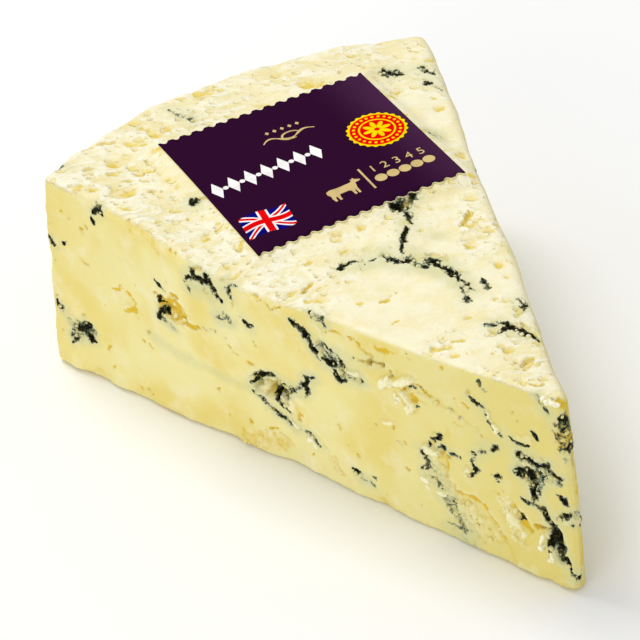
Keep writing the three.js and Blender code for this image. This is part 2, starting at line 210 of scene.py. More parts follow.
@dataclass(frozen=True)
class Wedge:
    """The plain wedge, its broad waves and how the soft cheese has settled."""

    half_angle: float = math.radians(19.17)
    height: float = 35.3
    point_y: float = -57.3
    rind_y: float = 53.6
    rind_radius: float = 80.0
    nose_radius: float = 1.55
    corner_radius: float = 1.8
    base_round: float = 1.2
    top_round: float = 1.6
    top_slope: float = 0.013
    right_lean: float = 1.1
    lean_reach: float = 10.0
    flare: float = 0.018
    flare_start_y: float = 10.0
    flare_full_y: float = 45.0
    nose_bulge: float = 0.6
    nose_reach: float = 12.0
    shoulders: tuple[Triple, ...] = ((66.4, 12.0, 3.6), (35.4, 16.0, 2.5))
    shoulder_bulge: float = 0.75
    shoulder_drop: float = 0.5
    bulge_reach: float = 8.0
    drop_reach: float = 11.0
    shoulder_low: float = 6.0
    shoulder_high: float = 28.0
    waves: tuple[Spot, ...] = ((44.0, 0.3), (17.0, 0.15), (7.5, 0.08))
    wave_directions: int = 7
    top_calm: float = 0.45

    @property
    def sine(self) -> float:
        """Sine of the half angle."""
        return math.sin(self.half_angle)

    @property
    def cosine(self) -> float:
        """Cosine of the half angle."""
        return math.cos(self.half_angle)

    @property
    def rind_centre_y(self) -> float:
        """Where the rind side's arc is centred."""
        return self.rind_y - self.rind_radius

    @property
    def point(self) -> Array:
        """Where the two cut faces would meet, at the base."""
        return np.array([0.0, self.point_y, 0.0])

    @property
    def centre(self) -> Array:
        """Centre of the circle that touches all three sides, at the base."""
        y = (self.rind_y + self.point_y * self.sine) / (1 + self.sine)
        return np.array([0.0, y, 0.0])

    @property
    def inradius(self) -> float:
        """Radius of the circle that touches all three sides."""
        return self.rind_y - self.centre[1]

    def outward(self, face: Face) -> Array:
        """The direction that leaves a face at its middle.

        Args:
            face: The face.

        Returns:
            A direction of length 1.
        """
        return {
            Face.LEFT: np.array([-self.cosine, -self.sine, 0.0]),
            Face.RIGHT: np.array([self.cosine, -self.sine, 0.0]),
            Face.TOP: np.array([0.0, 0.0, 1.0]),
            Face.RIND: np.array([0.0, 1.0, 0.0]),
            Face.POINT: np.array([0.0, -1.0, 0.0]),
        }[face]

    def along(self, face: Face) -> Array:
        """The level direction from the point along a cut face."""
        side = -1.0 if face is Face.LEFT else 1.0
        return np.array([side * self.sine, self.cosine, 0.0])

    def on(self, face: Face, path: Sequence[Spot]) -> Array:
        """Places of a path that is given in a face's own two measures.

        Args:
            face: The face.
            path: The path's corners.

        Returns:
            Rows of x, y and z on the plain wedge.
        """
        first, second = np.array(path, dtype=float).T
        flat = np.zeros_like(first)
        if face is Face.TOP:
            return np.stack([first, second, flat + self.height], axis=1)
        if face is Face.RIND:
            bearing = first / self.rind_radius
            x = self.rind_radius * np.sin(bearing)
            y = self.rind_centre_y + self.rind_radius * np.cos(bearing)
            return np.stack([x, y, second], axis=1)
        if face is Face.POINT:
            tip = self.point_y + self.nose_radius / self.sine - self.nose_radius
            return np.stack([first, flat + tip, second], axis=1)
        level = self.point + first[:, None] * self.along(face)
        return level + second[:, None] * np.array([0.0, 0.0, 1.0])

    def ripple(self, places: Array, length: float) -> Array:
        """Sine waves that run in directions spread evenly over a sphere.

        Args:
            places: Rows of x, y and z.
            length: Their wavelength.

        Returns:
            Their sum at each place.
        """
        total = np.zeros(len(places))
        for i in range(self.wave_directions):
            rise = 1 - (2 * i + 1) / self.wave_directions
            level = math.sqrt(1 - rise**2)
            bearing = i * GOLDEN_ANGLE
            heading = np.array([level * math.cos(bearing), level * math.sin(bearing), rise])
            total += np.sin(TAU * (places @ heading) / length + i * i)
        return total / math.sqrt(self.wave_directions)

    def relief(self, places: Array) -> Array:
        """Height of the broad waves over the plain surface."""
        return sum(size * self.ripple(places, length) for length, size in self.waves)

    def settle(self, places: Array) -> Array:
        """Moves places of the plain wedge to where the settled cheese has them.

        The left top edge sinks and bulges, the right face leans in, the base
        flares at the rind end, the point bows out and the top slopes.

        Args:
            places: Rows of x, y and z on the plain wedge.

        Returns:
            The moved places.
        """
        from_point = places - self.point
        along = from_point @ self.along(Face.LEFT)
        inside_left = np.maximum(0, -(from_point @ self.outward(Face.LEFT)))
        inside_right = np.maximum(0, -(from_point @ self.outward(Face.RIGHT)))
        rise = places[:, 2] / self.height
        size = np.zeros(len(places))
        for middle, spread, most in self.shoulders:
            size += most * bell(along - middle, spread * math.sqrt(2))
        size *= ease(places[:, 2], self.shoulder_low, self.shoulder_high)
        flare = self.flare * (1 - rise) * ease(places[:, 1], self.flare_start_y, self.flare_full_y)
        bow = self.nose_bulge * bell(places[:, 1] - self.point_y, self.nose_reach) * np.sin(math.pi * rise)
        bulge = size * self.shoulder_bulge * bell(inside_left, self.bulge_reach)
        lean = self.right_lean * rise * bell(inside_right, self.lean_reach)
        moved = places.copy()
        moved[:, 0] += flare * places[:, 0] + bow
        moved[:, 1] += flare * places[:, 1]
        moved += bulge[:, None] * self.outward(Face.LEFT)
        moved -= lean[:, None] * self.outward(Face.RIGHT)
        moved[:, 2] -= size * self.shoulder_drop * bell(inside_left, self.drop_reach)
        moved[:, 2] *= 1 + self.top_slope * moved[:, 0] / self.height
        return moved

    def corner(self) -> Array:
        """Centre of the right rind corner, inside both the cut face and the arc.

        Returns:
            Its x and y.
        """
        along = self.along(Face.RIGHT)[:2]
        start = self.corner_radius * np.array([-self.cosine, self.sine])
        from_arc = start + np.array([0, self.point_y - self.rind_centre_y])
        reach = self.rind_radius - self.corner_radius
        closest = from_arc @ along
        distance = -closest + math.sqrt(closest**2 - from_arc @ from_arc + reach**2)
        return start + distance * along + np.array([0, self.point_y])

    def outline(self, step: float, round_steps: int) -> tuple[Array, Array]:
        """Plan outline of the wedge, anticlockwise from the point.

        Args:
            step: Distance between points on the long sides.
            round_steps: Steps round each small corner.

        Returns:
            Points and their outward directions, as rows of x and y.
        """
        corner = self.corner()
        bearing = math.atan2(corner[0], corner[1] - self.rind_centre_y)
        quarter = math.pi / 2
        nose = np.array([0, self.point_y + self.nose_radius / self.sine])
        rind = np.array([0, self.rind_centre_y])
        far = corner * (-1, 1)
        arcs = [
            (nose, self.nose_radius, math.pi + self.half_angle, TAU - self.half_angle),
            (corner, self.corner_radius, -self.half_angle, quarter - bearing),
            (rind, self.rind_radius, quarter - bearing, quarter + bearing),
            (far, self.corner_radius, quarter + bearing, math.pi + self.half_angle),
        ]
        points: list[Array] = []
        facings: list[Array] = []
        for number, (centre, radius, start, end) in enumerate(arcs):
            steps = max(round_steps, round(radius * (end - start) / step))
            angles = np.linspace(start, end, steps + 1)
            facing = np.stack([np.cos(angles), np.sin(angles)], axis=1)
            next_centre, next_radius, next_start, _ = arcs[(number + 1) % len(arcs)]
            heading = np.array([math.cos(next_start), math.sin(next_start)])
            target = next_centre + next_radius * heading
            rim = centre + radius * facing
            gap = np.linalg.norm(target - rim[-1])
            if gap < step / 2:
                rim, facing = rim[:-1], facing[:-1]
            points.append(rim)
            facings.append(facing)
            count = round(gap / step)
            shares = np.arange(1, count)[:, None] / max(count, 1)
            if len(shares):
                points.append(rim[-1] + shares * (target - rim[-1]))
                facings.append(np.repeat(facing[-1:], len(shares), axis=0))
        return np.concatenate(points), np.concatenate(facings)

    def profile(self, step: float, round_steps: int) -> list[Ring]:
        """Rings from the middle of the base up the side and over the top.

        Args:
            step: Distance between rings.
            round_steps: Rings over each rounded edge.

        Returns:
            Height, inset, lean (0 sideways, 1 up) and freedom to move, for each ring.
        """
        rows: list[Ring] = []
        quarter = math.pi / 2
        inner = round((self.inradius - self.base_round) / step)
        for i in range(1, inner):
            share = i / inner
            inset = self.inradius + share * (self.base_round - self.inradius)
            rows.append((0.0, inset, 0.0, max(0.0, share * inner - inner + 2) / 2))
        for i in range(round_steps + 1):
            angle = quarter * i / round_steps
            z = self.base_round * (1 - math.cos(angle))
            rows.append((z, self.base_round * (1 - math.sin(angle)), 0.0, 1.0))
        straight = self.height - self.base_round - self.top_round
        risers = round(straight / step)
        rows += [(self.base_round + straight * i / risers, 0.0, 0.0, 1.0) for i in range(1, risers)]
        for i in range(round_steps + 1):
            angle = quarter * i / round_steps
            z = self.height - self.top_round * (1 - math.sin(angle))
            rows.append((z, self.top_round * (1 - math.cos(angle)), i / round_steps, 1.0))
        flat = self.inradius - self.top_round
        inner = round(flat / step)
        rows += [(self.height, self.top_round + flat * i / inner, 1.0, 1.0) for i in range(1, inner)]
        return rows


@dataclass
class Skin:
    """A closed mesh of triangles that can be split more finely where it needs to be.

    Args:
        points: Rows of x, y and z on the plain wedge.
        facings: The outward direction at each point.
        freedom: The share of the waves and features that each point takes.
        triangles: Rows of three point numbers, anticlockwise seen from outside.
    """

    points: Array
    facings: Array
    freedom: Array
    triangles: Array

    @classmethod
    def around(cls, wedge: Wedge, step: float, round_steps: int) -> "Skin":
        """Rings round the wedge from the middle of its base to the middle of its top.

        Args:
            wedge: The plain wedge.
            step: Distance between points away from the rounded edges.
            round_steps: Steps over each rounded edge.

        Returns:
            The skin, not yet split.
        """
        outline, outward = wedge.outline(step, round_steps)
        count = len(outline)
        centre = wedge.centre
        points = [centre[None]]
        facings = [np.array([[0.0, 0.0, -1.0]])]
        freedom = [np.zeros(1)]
        rows = wedge.profile(step, round_steps)
        for z, inset, lean, free in rows:
            plan = outline + (centre[:2] - outline) * inset / wedge.inradius
            points.append(np.column_stack([plan, np.full(count, z)]))
            facings.append(np.column_stack([outward * (1 - lean), np.full(count, lean)]))
            freedom.append(np.full(count, free * (1 + (wedge.top_calm - 1) * lean)))
        points.append(centre[None] + np.array([[0, 0, wedge.height]]))
        facings.append(np.array([[0.0, 0.0, 1.0]]))
        freedom.append(np.full(1, wedge.top_calm))
        here = np.arange(count)
        after = (here + 1) % count
        triangles = [np.column_stack([np.zeros(count, int), 1 + after, 1 + here])]
        for ring in range(len(rows) - 1):
            low = 1 + ring * count
            high = low + count
            triangles.append(np.column_stack([low + here, low + after, high + after]))
            triangles.append(np.column_stack([low + here, high + after, high + here]))
        last = 1 + len(rows) * count
        triangles.append(np.column_stack([last - count + here, last - count + after, np.full(count, last)]))
        return cls(*(np.concatenate(part) for part in (points, facings, freedom, triangles)))

    def split(self, allowed: Array) -> bool:
        """Halves every edge that is longer than allowed, and what that calls for.

        Args:
            allowed: The longest edge that each point may have.

        Returns:
            Whether anything was split.
        """
        count = len(self.points)
        sides = np.stack([self.triangles, np.roll(self.triangles, -1, axis=1)], axis=2)
        keys = sides.min(axis=2) * count + sides.max(axis=2)
        unique, of_triangle = np.unique(keys, return_inverse=True)
        of_triangle = of_triangle.reshape(-1, 3)
        pairs = np.stack([unique // count, unique % count], axis=1)
        length = np.linalg.norm(self.points[pairs[:, 1]] - self.points[pairs[:, 0]], axis=1)
        marked = length > allowed[pairs].min(axis=1)
        if not marked.any():
            return False
        longest = length[of_triangle].argmax(axis=1)
        main_edge = np.take_along_axis(of_triangle, longest[:, None], axis=1)[:, 0]
        while True:
            needed = main_edge[marked[of_triangle].any(axis=1)]
            if marked[needed].all():
                break
            marked[needed] = True
        ends = pairs[marked]
        middle = np.full(len(pairs), -1)
        middle[marked] = count + np.arange(len(ends))
        self.points = np.concatenate([self.points, self.points[ends].mean(axis=1)])
        self.facings = np.concatenate([self.facings, self.facings[ends].mean(axis=1)])
        self.freedom = np.concatenate([self.freedom, self.freedom[ends].mean(axis=1)])
        order = (longest[:, None] + np.arange(3)) % 3
        a, b, c = np.take_along_axis(self.triangles, order, axis=1).T
        ab, bc, ca = middle[np.take_along_axis(of_triangle, order, axis=1)].T
        halved = ab >= 0
        near = halved & (ca >= 0)
        far = halved & (bc >= 0)
        plain_near = halved & (ca < 0)
        plain_far = halved & (bc < 0)
        parts = [
            (~halved, a, b, c),
            (plain_near, a, ab, c),
            (near, a, ab, ca),
            (near, ab, c, ca),
            (plain_far, ab, b, c),
            (far, ab, b, bc),
            (far, ab, bc, c),
        ]
        kept = [np.column_stack([p[rows], q[rows], r[rows]]) for rows, p, q, r in parts]
        self.triangles = np.concatenate(kept)
        return True

    def smoothed(self, values: Array, rounds: int) -> Array:
        """Values at the points, averaged with their neighbours' a number of times.

        Args:
            values: One for each point.
            rounds: How often they are averaged.

        Returns:
            The averaged values.
        """
        count = len(values)
        start = self.triangles.ravel()
        end = np.roll(self.triangles, -1, axis=1).ravel()
        share = np.bincount(start, minlength=count) + np.bincount(end, minlength=count) + 1
        for _ in range(rounds):
            total = np.bincount(start, values[end], count) + np.bincount(end, values[start], count)
            values = (values + total) / share
        return values

    def refine(self, allowed_at: Callable[["Skin"], Array], rounds: int = 16) -> None:
        """Splits until no edge is longer than its ends allow.

        Args:
            allowed_at: Gives the longest edge that each point of a skin may have.
            rounds: Most rounds of splitting.
        """
        for _ in range(rounds):
            if not self.split(allowed_at(self)):
                break
        self.facings /= np.linalg.norm(self.facings, axis=1, keepdims=True)


class Kind(Enum):
    """What a feature does to the surface."""

    GROOVE = "a crack along a path"
    BOWL = "a hollow with a flat bottom"
    DOME = "a rounded lump that stands up"
    SLAB = "a flat flake that stands up"
    LEDGE = "a step that is low on the path's left"
    CRUMBLE = "a patch of lumps with gaps between them"


@dataclass(frozen=True)
class Mark:
    """One feature of a face, in millimetres, with how strongly it is coloured.

    Args:
        kind: What it does to the surface.
        path: Its route in the face's own measures.
        width: Full width across the path.
        depth: How far it goes in, or stands up.
        mould: Black-green mould along its path.
        stain: Grey-green blur round it.
        ochre_shade: Painted ochre shade inside it, standing in for the shade in its hollow.
        pale: White, dry crumb on it.
        face: The face it lies on.
    """

    kind: Kind
    path: tuple[Spot, ...]
    width: float
    depth: float
    mould: float = 0.0
    stain: float = 0.0
    ochre_shade: float = 0.0
    pale: float = 0.0
    face: Face = Face.LEFT

    @property
    def reach(self) -> float:
        """How far from its path the feature is felt."""
        return self.width * 0.9 + 3.4 * (self.stain > 0) + 4.0 * (self.kind is Kind.LEDGE) + 1.4


def vein(width: float, depth: float, *path: Spot, mould: float = 1.0, stain: float = 0.7,
         ochre_shade: float = 0.0) -> Mark:
    """A crack lined with mould."""
    return Mark(Kind.GROOVE, path, width, depth, mould, stain, ochre_shade)


def crack(width: float, depth: float, *path: Spot, mould: float = 0.0, stain: float = 0.0,
          ochre_shade: float = 1.2) -> Mark:
    """A crack with painted golden shade in it."""
    return vein(width, depth, *path, mould=mould, stain=stain, ochre_shade=ochre_shade)


def hollow(width: float, depth: float, *path: Spot, mould: float = 0.0, stain: float = 0.0,
           ochre_shade: float = 1.2) -> Mark:
    """A hollow with painted ochre shade in it."""
    return Mark(Kind.BOWL, path, width, depth, mould, stain, ochre_shade)


def patch(width: float, depth: float, *path: Spot, mould: float = 0.36, stain: float = 0.8,
          ochre_shade: float = 0.0) -> Mark:
    """A shallow place with scattered flakes of mould."""
    return hollow(width, depth, *path, mould=mould, stain=stain, ochre_shade=ochre_shade)


def lump(width: float, height: float, *path: Spot, pale: float = 0.5) -> Mark:
    """A pale crumb that stands up."""
    return Mark(Kind.DOME, path, width, height, pale=pale)


def slab(width: float, height: float, *path: Spot, mould: float = 0.0, pale: float = 0.65) -> Mark:
    """A flat pale flake."""
    return Mark(Kind.SLAB, path, width, height, mould, pale=pale)


def ledge(width: float, depth: float, *path: Spot, ochre_shade: float = 0.8) -> Mark:
    """A step down to the path's left, with painted ochre shade at its foot."""
    return Mark(Kind.LEDGE, path, width, depth, ochre_shade=ochre_shade)


def crumble(width: float, depth: float, *path: Spot, stain: float = 0.0, ochre_shade: float = 0.3,
            pale: float = 0.4) -> Mark:
    """A crumbled patch."""
    return Mark(Kind.CRUMBLE, path, width, depth, stain=stain, ochre_shade=ochre_shade, pale=pale)


def laid_on(face: Face, marks: Iterable[Mark]) -> list[Mark]:
    """The same features on another face."""
    return [replace(mark, face=face) for mark in marks]


def follow(places: Array, path: Array, outward: Array) -> tuple[Array, Array, Array]:
    """Where places lie beside a path.

    Args:
        places: Rows of x, y and z.
        path: The path's corners, at least two.
        outward: The direction that leaves the face.

    Returns:
        Distance from the path, share of its length, and distance to its left.
    """
    nearest = np.full(len(places), np.inf)
    share = np.zeros(len(places))
    leftward = np.zeros(len(places))
    lengths = np.linalg.norm(np.diff(path, axis=0), axis=1)
    travelled = 0.0
    for start, end, length in zip(path, path[1:], lengths):
        run = (end - start) / length
        offset = places - start
        along = np.clip(offset @ run, 0, length)
        away = offset - along[:, None] * run
        distance = np.linalg.norm(away, axis=1)
        closer = distance < nearest
        nearest[closer] = distance[closer]
        share[closer] = (travelled + along[closer]) / lengths.sum()
        leftward[closer] = (away @ np.cross(outward, run))[closer]
        travelled += length
    return nearest, share, leftward


@dataclass
class Surface:
    """Heights and colour strengths over a set of places on the plain wedge.

    Args:
        wedge: The plain form.
        places: Rows of x, y and z on it.
        warped: The same, moved a little by noise, so that no outline is smooth.
        swell: How much wider or narrower a feature is there.
        patches: How much stronger or weaker its mould is there.
    """

    wedge: Wedge
    places: Array
    warped: Array
    swell: Array
    patches: Array
    cut: Array = field(init=False)
    rise: Array = field(init=False)
    mould: Array = field(init=False)
    stain: Array = field(init=False)
    ochre_shade: Array = field(init=False)
    pale: Array = field(init=False)
    crumble: Array = field(init=False)

    TAPER_START = 0.06
    TAPER_POWER = 0.6
    SWELL_SHARE = 0.4
    LEDGE_REACH = 2.6
    STAIN_REACH = 1.6
    TOP_STAIN_REACH = 2.2
    # Shift and reach of a band of painted shade beside cracks on the top face.
    FAR_WALL_SHADE_SHIFT = np.array([0.45, 0.9, 0.0])
    FAR_WALL_SHADE_REACH = 1.0

    def __post_init__(self) -> None:
        """Starts every field at nothing."""
        for name in ("cut", "rise", "mould", "stain", "ochre_shade", "pale", "crumble"):
            setattr(self, name, np.zeros(len(self.places)))

    def near(self, path: Array, reach: float) -> Array:
        """Numbers of the places in the box round a path.

        Args:
            path: The path's corners.
            reach: Space left round them.

        Returns:
            Their numbers.
        """
        low = path.min(axis=0) - reach
        high = path.max(axis=0) + reach
        return np.flatnonzero(((self.places > low) & (self.places < high)).all(axis=1))

    def lay(self, mark: Mark) -> None:
        """Adds one feature.

        Args:
            mark: The feature.
        """
        path = self.wedge.on(mark.face, mark.path)
        rows = self.near(path, mark.reach)
        if not len(rows):
            return
        distance, share, leftward = follow(self.warped[rows], path, self.wedge.outward(mark.face))
        taper = np.ones(len(rows))
        if mark.kind in (Kind.GROOVE, Kind.LEDGE):
            start = self.TAPER_START
            taper = np.sin(math.pi * (start + (1 - 2 * start) * share)) ** self.TAPER_POWER
        half = mark.width / 2 * taper * (1 + self.SWELL_SHARE * self.swell[rows])
        inside = np.clip(1 - distance / half, 0, 1)
        cut, rise, fill = self._profile(mark, inside, distance / half, leftward, taper)
        self.cut[rows] = np.maximum(self.cut[rows], cut)
        self.rise[rows] = np.maximum(self.rise[rows], rise)
        if mark.kind is Kind.CRUMBLE:
            strength = mark.depth * ease(inside, 0, 0.6)
            self.crumble[rows] = np.maximum(self.crumble[rows], strength)
        mould = mark.mould * fill
        if mark.kind is not Kind.BOWL:
            spread = 0.1 + taper * (0.1 + 0.42 * mark.width)
            mould = mark.mould * np.clip(1.4 - 0.85 * distance / spread, 0, 1)
            mould *= np.clip(0.95 + 0.6 * self.patches[rows], 0.3, 1)
        reach = self.TOP_STAIN_REACH if mark.face is Face.TOP else self.STAIN_REACH
        stain = mark.stain * bell(np.maximum(distance - half * 0.6, 0), reach)
        self.mould[rows] = np.maximum(self.mould[rows], mould)
        self.stain[rows] = 1 - (1 - self.stain[rows]) * (1 - np.clip(stain, 0, 1))
        # Painted ochre shade inside the feature.
        ochre_shade = mark.ochre_shade * fill
        # On the top face a band of painted ochre shade also lies just beyond each mouldy crack, on its far
        # side.
        if mark.face is Face.TOP and mark.kind is Kind.GROOVE:
            beyond, _, _ = follow(self.warped[rows] - self.FAR_WALL_SHADE_SHIFT, path, self.wedge.outward(mark.face))
            ochre_shade = np.maximum(ochre_shade, 0.5 * mark.mould * np.clip(1 - beyond / self.FAR_WALL_SHADE_REACH, 0, 1))
        self.ochre_shade[rows] = np.maximum(self.ochre_shade[rows], ochre_shade)
        self.pale[rows] = np.maximum(self.pale[rows], mark.pale * fill)

    def _profile(self, mark: Mark, inside: Array, spread: Array, leftward: Array,
                 taper: Array) -> tuple[Array, Array, Array]:
        """How deep a feature cuts, how high it stands and where its colour fills.

        Args:
            mark: The feature.
            inside: 1 on its path and 0 at its edge.
            spread: Distance from its path over half its width.
            leftward: Distance to its path's left.
            taper: How it narrows to its ends.

        Returns:
            Depth, height and how far its colour fills it, at each place.
        """
        none = np.zeros_like(inside)
        if mark.kind is Kind.GROOVE:
            rim = 0.06 * mark.depth * bell(spread - 1.3, 0.35)
            return mark.depth * taper * inside**0.8, rim, ease(inside, 0, 0.5)
        if mark.kind is Kind.BOWL:
            bowl = ease(inside, 0, 0.55)
            return mark.depth * bowl, 0.03 * mark.depth * bell(spread - 1.2, 0.3), bowl
        if mark.kind is Kind.DOME:
            dome = np.sqrt(1 - (1 - inside) ** 2)
            return none, mark.depth * dome, ease(inside, 0, 0.4)
        if mark.kind is Kind.SLAB:
            slab = ease(inside, 0, 0.35)
            return none, mark.depth * slab, slab
        if mark.kind is Kind.LEDGE:
            fade = np.exp(-np.clip(leftward, 0, None) / self.LEDGE_REACH)
            fade *= ease(spread, 2.2 * self.LEDGE_REACH, 1.2 * self.LEDGE_REACH)
            step = ease(leftward, -0.12, 0.18) * fade * taper
            return mark.depth * step, none, bell(leftward - 0.2, 0.5) * taper
        return none, none, ease(inside, 0, 0.5)


@dataclass(frozen=True)
class Scoop:
    """A small crescent torn from the top face, steep on its near side.

    Args:
        at: Its middle, in x and y.
        length: How long it is.
        breadth: How broad it is.
        depth: How far it goes in.
        turn: How far it is turned.
    """

    at: Spot
    length: float
    breadth: float
    depth: float
    turn: float

    def lay(self, surface: Surface) -> None:
        """Cuts the scoop and paints ochre shade on its deep side.

        Args:
            surface: What it is cut into.
        """
        middle = surface.wedge.on(Face.TOP, [self.at])
        rows = surface.near(middle, self.length)
        offset = surface.warped[rows] - middle[0]
        along = (offset[:, 0] * math.cos(self.turn) + offset[:, 1] * math.sin(self.turn)) / (self.length / 2)
        away = (offset[:, 1] * math.cos(self.turn) - offset[:, 0] * math.sin(self.turn)) / (self.breadth / 2)
        away = away - 0.6 * along**2 + 0.3
        level = bell(offset[:, 2], 1.2)
        shape = np.clip(1 - along**2, 0, 1) ** 0.7 * ease(away, -1, -0.72) * np.clip((1 - away) / 1.8, 0, 1)
        surface.cut[rows] = np.maximum(surface.cut[rows], self.depth * shape * level)
        # Painted ochre shade on the scoop's deep side.
        surface.ochre_shade[rows] = np.maximum(surface.ochre_shade[rows], 0.85 * shape * level)


